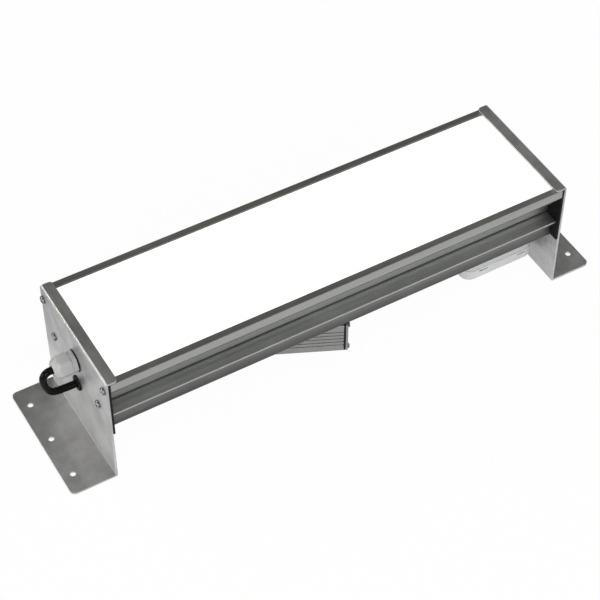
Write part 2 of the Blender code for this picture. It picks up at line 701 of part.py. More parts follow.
def grommet(name, parent, place, turn, wall, steps):
    """Rubber ring in a wall. Its own Z points outwards from the wall's outer face."""
    top = CLEARANCE + GROMMET_OUTER
    inner = -wall - CLEARANCE
    piece = turned(name, [
        (LEAD_BORE + GROMMET_ROUND, top), (GROMMET_RADIUS - GROMMET_ROUND, top),
        (GROMMET_RADIUS, top - GROMMET_ROUND), (GROMMET_RADIUS, CLEARANCE), (GROMMET_NECK, CLEARANCE),
        (GROMMET_NECK, inner), (GROMMET_RADIUS, inner), (GROMMET_RADIUS, inner - GROMMET_INNER),
        (LEAD_BORE, inner - GROMMET_INNER), (LEAD_BORE, top - GROMMET_ROUND),
    ], parent, place, turn, True, steps)
    return paint(settled(piece), "black rubber")


def smooth_line(points, steps):
    """Points on a smooth line through the given ones: cubics whose slopes weigh both stretches."""
    places = [Vector(point) for point in points]
    slopes = [(places[1] - places[0]).normalized()]
    for back, here, ahead in zip(places, places[1:], places[2:]):
        before, after = (here - back).length, (ahead - here).length
        pull = (here - back) * (after / before) + (ahead - here) * (before / after)
        slopes.append(pull / (before + after))
    slopes.append((places[-1] - places[-2]).normalized())
    line = []
    for start, end, first, last in zip(places, places[1:], slopes, slopes[1:]):
        reach = (end - start).length
        for step in range(steps):
            t = step / steps
            line.append(
                start * (2 * t**3 - 3 * t**2 + 1) + end * (3 * t**2 - 2 * t**3)
                + first * (reach * (t**3 - 2 * t**2 + t)) + last * (reach * (t**3 - t**2))
            )
    return line + [places[-1]]


def supply_lead():
    """Black lead from the light chamber out of the gland, round into the channel, to the box."""
    line = smooth_line(LEAD_ROUTE, LEAD_STEPS)
    curve = bpy.data.curves.new("supply_lead", 'CURVE')
    curve.dimensions = '3D'
    curve.bevel_depth = LEAD_RADIUS
    curve.bevel_resolution = LEAD_RESOLUTION
    curve.use_fill_caps = True
    spline = curve.splines.new('POLY')
    spline.points.add(len(line) - 1)
    for point, place in zip(spline.points, line):
        point.co = (*place, 1)
    return paint(link("supply_lead", curve), "black rubber")


def driver_half_outline():
    """Right side of the driver's section, from top to bottom, with its level grooves."""
    side = DRIVER_WIDTH / 2
    corners = [(side, 0, DRIVER_CORNER)]
    for rib in reversed(range(DRIVER_RIB_COUNT)):
        low = -DRIVER_HEIGHT + DRIVER_RIB_FIRST + rib * DRIVER_RIB_PITCH
        high = low + DRIVER_RIB_GAP
        corners += [
            (side, high), (side - DRIVER_RIB_DEPTH, high), (side - DRIVER_RIB_DEPTH, low), (side, low),
        ]
    return corners + [(side, -DRIVER_HEIGHT, DRIVER_CORNER)]


def mirror_outline(half):
    """A half outline closed with its own mirror image."""
    return rounded(half + [(-corner[0], *corner[1:]) for corner in reversed(half)])


def driver_screw_places():
    """Centres of the end screws in the driver's section."""
    side = DRIVER_WIDTH / 2 - DRIVER_PORT_SIDE
    return [
        (row * side, height) for row in (-1, 1)
        for height in (-DRIVER_PORT_EDGE, DRIVER_PORT_EDGE - DRIVER_HEIGHT)
    ]


def driver_case(axis):
    """Extruded case: a closed tube with grooved sides and screw ports in its corners."""
    inner = DRIVER_WIDTH / 2 - DRIVER_WALL
    bottom = DRIVER_WALL - DRIVER_HEIGHT
    cavity = [
        (inner - DRIVER_BOSS_WIDTH, -DRIVER_WALL),
        (inner - DRIVER_BOSS_WIDTH, -DRIVER_WALL - DRIVER_BOSS_HEIGHT),
        (inner, -DRIVER_WALL - DRIVER_BOSS_HEIGHT),
        (inner, bottom + DRIVER_BOSS_HEIGHT),
        (inner - DRIVER_BOSS_WIDTH, bottom + DRIVER_BOSS_HEIGHT),
        (inner - DRIVER_BOSS_WIDTH, bottom),
    ]
    ports = [circle(y, z, DRIVER_SCREW_HOLE, SMALL_STEPS) for y, z in driver_screw_places()]
    outlines = [mirror_outline(driver_half_outline()), mirror_outline(cavity), *ports]
    piece = as_mesh(slab("driver_case", outlines, DRIVER_LENGTH, axis, turn=SECTION_TURN))
    drill(piece, [((0, 0, -DRIVER_WALL / 2), BOLT_HOLE, DRIVER_WALL)], (0, 0, 1), axis)
    return paint(piece, "driver shell")


def driver_end(axis, end, side, screw):
    """Gasket, end plate, four screws and cord inlet at one end of the driver."""
    outline = mirror_outline([
        (DRIVER_WIDTH / 2, 0, DRIVER_CORNER), (DRIVER_WIDTH / 2, -DRIVER_HEIGHT, DRIVER_CORNER),
    ])
    middle = -DRIVER_HEIGHT / 2
    holes = [circle(y, z, DRIVER_SCREW_HOLE, SMALL_STEPS) for y, z in driver_screw_places()]
    holes.append(circle(0, middle, INLET_NECK + CLEARANCE, PLAIN_STEPS))
    face = DRIVER_LENGTH / 2
    for label, thickness, finish in (
        ("end_gasket", DRIVER_GASKET, "black rubber"), ("end_plate", DRIVER_END_PLATE, "driver shell"),
    ):
        place = (side * (face + CLEARANCE + thickness / 2), 0, 0)
        paint(slab(f"driver_{end}_{label}", [outline, *holes], thickness, axis, place, SECTION_TURN), finish)
        face += CLEARANCE + thickness
    turn = ALONG_RIGHT if side > 0 else ALONG_LEFT
    out = side * (face + CLEARANCE)
    for number, (y, z) in enumerate(driver_screw_places(), 1):
        link(f"driver_{end}_end_screw_{number}", screw, axis, (out, y, z), turn)
    neck_end = -(DRIVER_GASKET + DRIVER_END_PLATE + 3 * CLEARANCE + INLET_IN)
    inlet = turned(f"driver_{end}_inlet", [
        (INLET_BORE, INLET_OUT), (INLET_RIM, INLET_OUT), (INLET_RADIUS, INLET_OUT / 2), (INLET_RADIUS, 0),
        (INLET_NECK, 0), (INLET_NECK, neck_end), (INLET_BORE, neck_end),
    ], axis, (out, 0, middle), turn, True, PLAIN_STEPS)
    paint(settled(inlet), "black rubber")


def driver_circuit(axis):
    """Circuit board on the case's lower bosses, with a transformer and capacitors."""
    length = DRIVER_LENGTH - 2 * CIRCUIT_END_SPACE
    width = DRIVER_WIDTH - 2 * DRIVER_WALL - 2 * CLEARANCE
    low = DRIVER_WALL + DRIVER_BOSS_HEIGHT + CLEARANCE - DRIVER_HEIGHT
    top = low + CIRCUIT_BOARD
    bm = bmesh.new()
    add_block(bm, (0, 0, low + CIRCUIT_BOARD / 2), (length, width, CIRCUIT_BOARD))
    piece = link("driver_circuit", mesh_from("driver_circuit", bm), axis)
    sunk = CIRCUIT_BOARD / 2
    parts = bmesh.new()
    core_length, core_width, core_rise = CIRCUIT_CORE
    add_block(parts, (0, 0, top + (core_rise - sunk) / 2), (core_length, core_width, core_rise + sunk))
    for along, across in CIRCUIT_CAPACITOR_SHARES:
        place = (along * length, across * width, top + (CIRCUIT_CAPACITOR_RISE - sunk) / 2)
        add_round(parts, place, CIRCUIT_CAPACITOR_RADIUS, CIRCUIT_CAPACITOR_RISE + sunk, steps=PLAIN_STEPS)
    shape = cutter("driver_circuit_parts", parts, axis)
    return paint(boolean(piece, shape, 'UNION'), "green board")


def clamp_bar(name, x, holes):
    """Flat bar across the channel, lying on the housing's inward flanges."""
    foot, level_wall, slope = leg_line()
    half = foot - level_wall - slope * (BAR_TOP - BASE_TOP) - BAR_END_SPACE
    bm = bmesh.new()
    middle = BAR_BOTTOM + BAR_THICKNESS / 2
    add_block(bm, (x, 0, middle), (BAR_WIDTH, 2 * half, BAR_THICKNESS))
    piece = link(name, mesh_from(name, bm))
    drill(piece, [((x, y, middle), radius, BAR_THICKNESS) for y, radius in holes], (0, 0, 1))
    return paint(piece, "zinc")


def driver_bolt(axis):
    """Hexagon bolt and washer: the driver hangs from them and turns about them."""
    washer_low = BAR_TOP + CLEARANCE - BELOW
    washer_top = washer_low + WASHER_THICKNESS
    paint(settled(turned("driver_washer", [
        (BOLT_HOLE, washer_top), (WASHER_RADIUS, washer_top), (WASHER_RADIUS, washer_low),
        (BOLT_HOLE, washer_low),
    ], axis, ring=True)), "zinc")
    under = washer_top + CLEARANCE
    corner = BOLT_FLATS / 2 / cos(pi / 6) + CLEARANCE
    end = -DRIVER_WALL - BOLT_GRIP
    bolt = turned("driver_bolt", [
        (0, under + BOLT_HEAD), (corner, under + BOLT_HEAD), (corner, under), (BOLT_RADIUS, under),
        (BOLT_RADIUS, end), (0, end),
    ], axis)
    hexagon(bolt, BOLT_FLATS, end - OVERRUN, under + BOLT_HEAD + OVERRUN)
    paint(settled(bolt), "zinc")


def driver():
    """The driver with all that turns with it about its bolt."""
    axis = empty("driver_axis", (DRIVER_X, 0, BELOW), (0, 0, DRIVER_SKEW))
    driver_case(axis)
    driver_circuit(axis)
    screw = screw_mesh("driver_end_screw", DRIVER_SCREW)
    driver_end(axis, "left", -1, screw)
    driver_end(axis, "right", 1, screw)
    paint(bpy.data.objects["driver_left_end_screw_1"], "zinc")
    driver_bolt(axis)
    clamp_bar("driver_clamp_bar", DRIVER_X, [(0, BOLT_HOLE)])


def tray(name, height, centre_z, open_side, frame):
    """Thin-walled tray with round corners and an eased closed edge, open upwards (1) or downwards (-1)."""
    closed_z = centre_z - open_side * height / 2
    eased = BOX_EDGE * (1 - cos(pi / 4))
    levels = [
        (BOX_EDGE, 0), (eased, eased), (0, BOX_EDGE), (0, height), (BOX_WALL, height), (BOX_WALL, BOX_WALL),
    ]
    bm = bmesh.new()
    rings = []
    for inset, rise in levels:
        outline = block_outline(BOX_LENGTH - 2 * inset, BOX_WIDTH - 2 * inset, BOX_CORNER - inset)
        rings.append([bm.verts.new((u, v, closed_z + open_side * rise)) for u, v in outline])
    for low, high in zip(rings, rings[1:]):
        for index, corner in enumerate(low):
            bm.faces.new((low[index - 1], corner, high[index], high[index - 1]))
    bm.faces.new(rings[0])
    bm.faces.new(rings[-1])
    bmesh.ops.recalc_face_normals(bm, faces=bm.faces)
    return link(name, mesh_from(name, bm), frame)


def window_places():
    """Centres of the snap windows: two on each long side, given as x and side."""
    return [(along * WINDOW_OUT, side) for along in (-1, 1) for side in (-1, 1)]


def snap_tongues(rim):
    """Tongues that reach down inside the lid's wall, each with a hook in a window of the lid."""
    inner = BOX_WIDTH / 2 - BOX_WALL
    back = inner - CLEARANCE
    front = back - TONGUE_WALL
    hook = BOX_WIDTH / 2 - CLEARANCE
    window_top = rim - 2 * CLEARANCE - BOX_SEAL - WINDOW_DROP
    window_low = window_top - WINDOW_HEIGHT
    outline = [
        (inner + BOX_WALL / 2, rim + TONGUE_ROOT), (front, rim + TONGUE_ROOT),
        (front, window_low + CLEARANCE), (back, window_low + CLEARANCE),
        (hook, window_top - WINDOW_HEIGHT / 2), (hook, window_top - CLEARANCE),
        (back, window_top - CLEARANCE), (back, rim + CLEARANCE), (inner + BOX_WALL / 2, rim + CLEARANCE),
    ]
    length = WINDOW_LENGTH - 2 * CLEARANCE
    bm = bmesh.new()
    for x, side in window_places():
        face = bm.faces.new([bm.verts.new((x - length / 2, side * y, z)) for y, z in outline])
        swept = bmesh.ops.extrude_face_region(bm, geom=[face])["geom"]
        far = [item for item in swept if isinstance(item, bmesh.types.BMVert)]
        bmesh.ops.translate(bm, verts=far, vec=(length, 0, 0))
    bmesh.ops.recalc_face_normals(bm, faces=bm.faces)
    return bm


def box_base(frame):
    """Upper shell of the box with snap tongues, holes for lead, screws and membranes."""
    height = BOX_HEIGHT - LID_HEIGHT - BOX_SEAL - 2 * CLEARANCE
    piece = tray("box_base", height, -height / 2, -1, frame)
    boolean(piece, cutter("box_base_tongues", snap_tongues(-height), frame), 'UNION')
    top = -BOX_WALL / 2
    upright = [((LEAD_DROP_X - BOX_X, 0, top), GROMMET_NECK + CLEARANCE, BOX_WALL)]
    upright += [((0, side * BOX_SCREW_OUT, top), BOX_SCREW_HOLE, BOX_WALL) for side in (-1, 1)]
    drill(piece, upright, (0, 0, 1), frame)
    left = (BOX_WALL - BOX_LENGTH) / 2
    hole = MEMBRANE_NECK + CLEARANCE
    level = [((left, row * MEMBRANE_OUT, -height / 2), hole, BOX_WALL) for row in (-1, 1)]
    drill(piece, level, (1, 0, 0), frame)
    drill(piece, [((0, (BOX_WIDTH - BOX_WALL) / 2, -height / 2), hole, BOX_WALL)], (0, 1, 0), frame)
    return paint(piece, "box grey")


def box_lid(frame):
    """Snap lid with windows for the tongues' hooks."""
    rim = LID_HEIGHT - BOX_HEIGHT
    piece = tray("box_lid", LID_HEIGHT, rim - LID_HEIGHT / 2, 1, frame)
    bm = bmesh.new()
    for x, side in window_places():
        centre = (x, side * (BOX_WIDTH - BOX_WALL) / 2, rim - WINDOW_DROP - WINDOW_HEIGHT / 2)
        add_block(bm, centre, (WINDOW_LENGTH, BOX_WALL + OVERRUN, WINDOW_HEIGHT))
    return paint(boolean(piece, cutter("box_lid_windows", bm, frame), 'DIFFERENCE'), "box lid")


def box_seal(frame):
    """Soft seal between the rims of base and lid."""
    outer = block_outline(BOX_LENGTH, BOX_WIDTH, BOX_CORNER)
    inner = block_outline(BOX_LENGTH - 2 * BOX_WALL, BOX_WIDTH - 2 * BOX_WALL, BOX_CORNER - BOX_WALL)
    place = (0, 0, LID_HEIGHT - BOX_HEIGHT + CLEARANCE + BOX_SEAL / 2)
    return paint(slab("box_seal", [outer, inner], BOX_SEAL, frame, place), "black rubber")


def terminal_block(frame):
    """Terminal block on the inside of the base's top, with a screw hole for each pole."""
    length, width, height = TERMINAL_SIZE
    left = LEAD_END_X + CLEARANCE - BOX_X
    top = -BOX_WALL - CLEARANCE
    centre = (left + length / 2, 0, top - height / 2)
    bm = bmesh.new()
    add_block(bm, centre, TERMINAL_SIZE)
    piece = link("terminal_block", mesh_from("terminal_block", bm), frame)
    pitch = width / TERMINAL_POLES
    low = top - height
    holes = [
        ((left + length / 2, (pole - (TERMINAL_POLES - 1) / 2) * pitch, low), TERMINAL_SCREW_RADIUS,
         TERMINAL_SCREW_DEPTH)
        for pole in range(TERMINAL_POLES)
    ]
    return paint(drill(piece, holes, (0, 0, 1), frame), "terminal white")


def membrane(name, frame, place, turn):
    """Closed soft inlet in the box's wall, with a thin skin in its middle."""
    inner = -BOX_WALL - CLEARANCE
    skin = CLEARANCE + MEMBRANE_SKIN
    return paint(settled(turned(name, [
        (0, skin), (MEMBRANE_RECESS_RADIUS, skin), (MEMBRANE_RECESS_RADIUS, CLEARANCE + MEMBRANE_FLANGE),
        (MEMBRANE_RADIUS, CLEARANCE + MEMBRANE_FLANGE), (MEMBRANE_RADIUS, CLEARANCE),
        (MEMBRANE_NECK, CLEARANCE), (MEMBRANE_NECK, inner), (MEMBRANE_RADIUS, inner),
        (MEMBRANE_RADIUS, inner - MEMBRANE_FLANGE), (MEMBRANE_RECESS_RADIUS, inner - MEMBRANE_FLANGE),
        (MEMBRANE_RECESS_RADIUS, CLEARANCE), (0, CLEARANCE),
    ], frame, place, turn, steps=PLAIN_STEPS)), "grey nylon")


def junction_box():
    """The box with its contents, hung from a bar in the channel by two screws."""
    frame = empty("box_frame", (BOX_X, 0, BELOW))
    height = BOX_HEIGHT - LID_HEIGHT - BOX_SEAL - 2 * CLEARANCE
    box_base(frame)
    box_lid(frame)
    box_seal(frame)
    terminal_block(frame)
    entry = (LEAD_DROP_X - BOX_X, 0, 0)
    grommet("box_entry_grommet", frame, entry, (0, 0, 0), BOX_WALL, PLAIN_STEPS)
    for row, label in ((-1, "near"), (1, "far")):
        place = (-BOX_LENGTH / 2, row * MEMBRANE_OUT, -height / 2)
        membrane(f"box_left_{label}_membrane", frame, place, ALONG_LEFT)
    membrane("box_side_membrane", frame, (0, BOX_WIDTH / 2, -height / 2), (-pi / 2, 0, 0))
    screw = screw_mesh("box_screw", BOX_SCREW)
    for number, side in ((1, -1), (2, 1)):
        place = (0, side * BOX_SCREW_OUT, -BOX_WALL - CLEARANCE)
        link(f"box_screw_{number}", screw, frame, place, (pi, 0, 0))
    paint(bpy.data.objects["box_screw_1"], "zinc")
    clamp_bar("box_clamp_bar", BOX_X, [(side * BOX_SCREW_OUT, BOX_SCREW_HOLE) for side in (-1, 1)])


def main():
    clear_scene()
    bracket("left_bracket", -1)
    bracket("right_bracket", 1)
    end_gasket("left_end_gasket", -1)
    end_gasket("right_end_gasket", 1)
    housing_profile()
    diffuser()
    led_board("led_board_left", -1)
    led_board("led_board_right", 1)
    led_connector()
    bracket_screws()
    cable_gland()
    grommet("cable_grommet", None, (-PLATE_FACE, 0, GROMMET_HEIGHT), ALONG_LEFT, SHEET, TURN_STEPS)
    supply_lead()
    driver()
    junction_box()


main()
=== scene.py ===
"""Looks of the industrial light fixture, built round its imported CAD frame.

Metres, +Z up. The origin is the middle of the plane that the feet stand on, and +X runs along the
housing, away from the end with the cable gland.
"""

import math

import bmesh
import bpy
import numpy as np
from mathutils import Matrix


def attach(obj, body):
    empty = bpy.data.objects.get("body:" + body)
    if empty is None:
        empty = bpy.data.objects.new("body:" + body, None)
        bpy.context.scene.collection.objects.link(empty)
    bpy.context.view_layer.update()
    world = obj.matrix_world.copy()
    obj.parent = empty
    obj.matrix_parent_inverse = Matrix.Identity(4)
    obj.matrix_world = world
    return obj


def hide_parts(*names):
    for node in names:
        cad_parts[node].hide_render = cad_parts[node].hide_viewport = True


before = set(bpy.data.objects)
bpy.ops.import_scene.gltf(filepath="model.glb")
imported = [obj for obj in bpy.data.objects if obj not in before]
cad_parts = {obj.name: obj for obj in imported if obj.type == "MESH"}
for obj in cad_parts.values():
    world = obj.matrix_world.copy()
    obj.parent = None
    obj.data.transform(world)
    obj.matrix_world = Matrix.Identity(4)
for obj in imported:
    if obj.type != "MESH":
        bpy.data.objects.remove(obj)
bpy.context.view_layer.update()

# Sizes that the pieces share with the part. PLATE is the outer face of an end plate, BELOW the
# height that driver and box hang from, and GAP lies between neighbouring pieces.
PLATE = 0.270
SHEET = 0.0025
HEIGHT = 0.145
HALF_WIDTH = 0.075
FOOT = 0.049
FLANGE = 0.0132
FOOT_HOLE_OUT = 0.037
FOOT_HOLE_PITCH = 0.0515
BELOW = 0.0674
GAP = 0.0003
HOUSING_HALF = 0.2649
GLAND_HEIGHT = 0.1056
GROMMET_HEIGHT = 0.0711
LEAD_RADIUS = 0.004
BOX_SIDE = 0.0905
BOX_CORNER = 0.012
BOX_WALL = 0.0012
WINDOW = 0.0105
SCREW_PLACES = [(-0.0685, 0.1302), (-0.0505, 0.0912), (0.0685, 0.1302), (0.0505, 0.0912)]

# Edges sharper than CREASE degrees stay sharp, and points nearer than MERGE become one. An edge
# shorter than TINY has no direction, and GRAIN_DEPTH is how deep a surface's grain goes.
CREASE = 38
MERGE = 1e-6
TINY = 1e-9
GRAIN_DEPTH = 0.00002
QUARTER = np.pi / 2
SIXTH = np.pi / 3


# Places

def turn_z(angle):
    """Turn about Z as a 3 x 3 matrix."""
    return np.array([
        [math.cos(angle), -math.sin(angle), 0.0],
        [math.sin(angle), math.cos(angle), 0.0],
        [0.0, 0.0, 1.0],
    ])


class Place:
    """Where a piece sits: a turn, then a shift, for whole arrays of points."""

    def __init__(self, shift=(0, 0, 0), turn=np.eye(3)):
        self.shift, self.turn = np.array(shift, float), np.array(turn, float)

    def __call__(self, points):
        return points @ self.turn.T + self.shift

    def within(self, shift, turn):
        """A place given inside this one."""
        return Place(self(np.array(shift, float)), self.turn @ np.array(turn, float))


# Columns are the piece's own X, Y and Z
OUT_LEFT = np.array([[0.0, 0, -1], [0, 1, 0], [1, 0, 0]])
OUT_RIGHT = np.array([[0.0, 0, 1], [0, 1, 0], [-1, 0, 0]])
OUT_FAR = np.array([[1.0, 0, 0], [0, 0, 1], [0, -1, 0]])
SECTION = np.array([[0.0, 0, 1], [1, 0, 0], [0, 1, 0]])
DRIVER = Place((-0.0603, 0, BELOW), turn_z(math.radians(-25)))
BOX = Place((0.2165, 0, BELOW))


# Meshes from whole arrays

def cells(rows, columns, wrap_rows=False):
    """Corner numbers of a grid's cells. The columns always close on themselves."""
    row = np.arange(rows if wrap_rows else rows - 1)[:, None]
    column = np.arange(columns)[None, :]
    above, beside = (row + 1) % rows, (column + 1) % columns
    corners = (
        row * columns + column, row * columns + beside,
        above * columns + beside, above * columns + column,
    )
    return np.stack(np.broadcast_arrays(*corners), -1).reshape(-1, 4)


def piece(name, points, faces, crease=CREASE, thickness=0.0):
    """One object from points and faces, its doubles merged and its faces turned outwards. Flat
    faces keep their own normals, and round ones are smooth up to the crease angle."""
    mesh = bpy.data.meshes.new(name)
    mesh.from_pydata(points.reshape(-1, 3).tolist(), [], faces)
    bm = bmesh.new()
    bm.from_mesh(mesh)
    bmesh.ops.remove_doubles(bm, verts=bm.verts, dist=MERGE)
    bmesh.ops.recalc_face_normals(bm, faces=bm.faces)
    bm.to_mesh(mesh)
    bm.free()
    mesh.shade_smooth()
    mesh.set_sharp_from_angle(angle=math.radians(crease))
    item = bpy.data.objects.new(name, mesh)
    bpy.context.scene.collection.objects.link(item)
    if thickness:
        shell = item.modifiers.new("Shell", 'SOLIDIFY')
        shell.thickness = thickness
        shell.offset = -1
        shell.use_even_offset = True
    weigh = item.modifiers.new("Flat faces", 'WEIGHTED_NORMAL')
    weigh.keep_sharp = True
    return item


def eased(corners, radii, steps=3):
    """A closed outline whose corners are arcs. Each arc's ends lie radius / tan(half angle) from
    its corner, at most the share reach_share of the shorter edge, and its spokes turn evenly
    from one end to the other."""
    reach_share, least_sweep = 0.49, 1e-4
    here = np.array(corners, float)
    radii = np.broadcast_to(np.array(radii, float), len(here))
    back, ahead = np.roll(here, 1, 0) - here, np.roll(here, -1, 0) - here
    reach = np.minimum(np.linalg.norm(back, axis=1), np.linalg.norm(ahead, axis=1))
    back /= np.linalg.norm(back, axis=1)[:, None]
    ahead /= np.linalg.norm(ahead, axis=1)[:, None]
    half = np.arccos(np.clip((back * ahead).sum(1), -1, 1)) / 2
    radius = np.minimum(radii, reach_share * reach * np.tan(half))[:, None]
    middle = back + ahead
    middle /= np.maximum(np.linalg.norm(middle, axis=1), TINY)[:, None]
    centre = here + middle * radius / np.sin(half)[:, None]
    first = here + back * radius / np.tan(half)[:, None] - centre
    last = here + ahead * radius / np.tan(half)[:, None] - centre
    sweep = np.maximum(np.pi - 2 * half, least_sweep)[:, None, None]
    share = np.linspace(0, 1, steps + 1)[None, :, None]
    arc = np.sin((1 - share) * sweep) * first[:, None] + np.sin(share * sweep) * last[:, None]
    return (centre[:, None] + arc / np.sin(sweep)).reshape(-1, 2)


def rectangle(length, width, corner, steps):
    """A rectangle round the origin with round corners."""
    half, side = length / 2, width / 2
    return eased([(half, side), (-half, side), (-half, -side), (half, -side)], corner, steps)


def inset(outline, distance):
    """The outline moved inwards: each point goes along the sum of its two edges' normals, over
    1 + cos(angle between them), which is kept above least at very sharp corners."""
    least = 0.2
    edge = np.roll(outline, -1, 0) - outline
    length = np.linalg.norm(edge, axis=1)[:, None]
    normal = np.stack([edge[:, 1], -edge[:, 0]], 1) / np.maximum(length, TINY)
    near = np.where(length < TINY, np.roll(normal, -1, 0), normal)
    both = near + np.roll(near, 1, 0)
    both /= np.maximum((both * near).sum(1), least)[:, None]
    x, y = outline.T
    area = (x * np.roll(y, -1) - np.roll(x, -1) * y).sum()
    return outline - both * distance * np.sign(area)


def drawn(name, outline, low, high, place, edge=0.0):
    """A section drawn out from low to high along the place's Z. Its ends are eased: on a quarter
    round of radius edge, the section moves in by edge (1 - cos) while it goes on by edge sin."""
    turn = np.linspace(0, QUARTER, 3) if edge else np.zeros(1)
    ends = np.stack([edge * (1 - np.cos(turn)), edge * (1 - np.sin(turn))], 1)
    rows = [(inward, low + rise) for inward, rise in ends[::-1]]
    rows += [(inward, high - rise) for inward, rise in ends]
    rings = []
    for inward, along in rows:
        ring = inset(outline, inward) if inward else outline
        rings.append(np.column_stack([ring, np.full(len(ring), along)]))
    points = place(np.concatenate(rings))
    count = len(outline)
    faces = cells(len(rings), count).tolist()
    faces.append(list(range(count))[::-1])
    faces.append(list(range(count * (len(rings) - 1), count * len(rings))))
    return piece(name, points, faces)


def turned(name, corners, place, radii=0.0002, around=48, flats=0.0, corner=0.0, angle=0.0):
    """A section of (radius, height) corners turned about the place's Z. With flats, the radius is
    no more than half the flats / cos(angle from the nearest flat's middle), nor than corner."""
    outline = eased(corners, radii)
    theta = np.arange(around) * 2 * np.pi / around
    radius = np.repeat(outline[:, :1], around, 1)
    if flats:
        from_flat = (theta - angle + SIXTH / 2) % SIXTH - SIXTH / 2
        most = np.minimum(flats / 2 / np.cos(from_flat), corner)
        radius = np.minimum(radius, most[None, :])
    height = np.repeat(outline[:, 1:], around, 1)
    points = np.stack([radius * np.cos(theta), radius * np.sin(theta), height], -1)
    return piece(name, place(points.reshape(-1, 3)), cells(len(outline), around, True).tolist())


def pan_screw(name, place, head, rise, shank, length, around=64):
    """A pan head screw. Rows of rings run from the crown's middle over the edge, under the head
    and down the shank. The crown is a low dome with a quarter round at its edge. A cross is sunk
    into it, over the edge's first rings too: each arm is deepest along its middle line and grows
    shallower towards its ends."""
    spread = np.linspace(0, 1, 16)
    bend = np.linspace(0, QUARTER, 7)[1:]
    crown, dome = 0.55 * rise, 0.10 * rise
    flat = head - crown
    chamfer, core = 0.0001, 0.3
    over_edge = 4
    radius = np.concatenate([
        flat * spread, flat + crown * np.sin(bend),
        [head, head - chamfer, shank, shank, shank * core, 0],
    ])
    height = np.concatenate([
        rise - dome * spread ** 2, 0.9 * rise - crown + crown * np.cos(bend),
        [chamfer, 0, 0, -length + shank, -length, -length],
    ])
    theta = np.arange(around) * 2 * np.pi / around
    across, along = radius[:, None] * np.cos(theta), radius[:, None] * np.sin(theta)
    slot, reach = 0.17 * head, 0.66 * head
    steep, fade, deepest = 2.2, 1.15, 0.75
    arms = [
        np.clip(1 - np.abs(aside) / slot, 0, 1) * np.clip(fade - np.abs(outwards) / reach, 0, 1)
        for aside, outwards in ((across, along), (along, across))
    ]
    sunk = np.minimum(np.maximum(*arms) * steep, 1) * deepest * rise
    sunk[len(spread) + over_edge:] = 0
    points = np.stack([across, along, height[:, None] - sunk], -1)
    faces = cells(len(radius), around, True).tolist()
    return piece(name, place(points.reshape(-1, 3)), faces, crease=50)


def wear(item, body, finish, slot, *nodes):
    """Gives a finished piece its body and material, and hides the nodes that it stands for. The
    slot is not used.
    """
    item.data.materials.clear()
    item.data.materials.append(finish)
    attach(item, body)
    if nodes:
        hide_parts(*nodes)


# Shader maths

class Wire:
    """A shader socket that takes part in sums: each operator adds a Math node."""

    def __init__(self, look, socket):
        self.look, self.socket = look, socket

    def maths(self, operation, *terms):
        """A Math node over numbers and wires."""
        return self.look.add("ShaderNodeMath", {"operation": operation}, dict(enumerate(terms)))

    def __add__(self, other):
        return self.maths('ADD', self, other)

    def __sub__(self, other):
        return self.maths('SUBTRACT', self, other)

    def __rsub__(self, other):
        return self.maths('SUBTRACT', other, self)

    def __mul__(self, other):
        return self.maths('MULTIPLY', self, other)

    __radd__, __rmul__ = __add__, __mul__


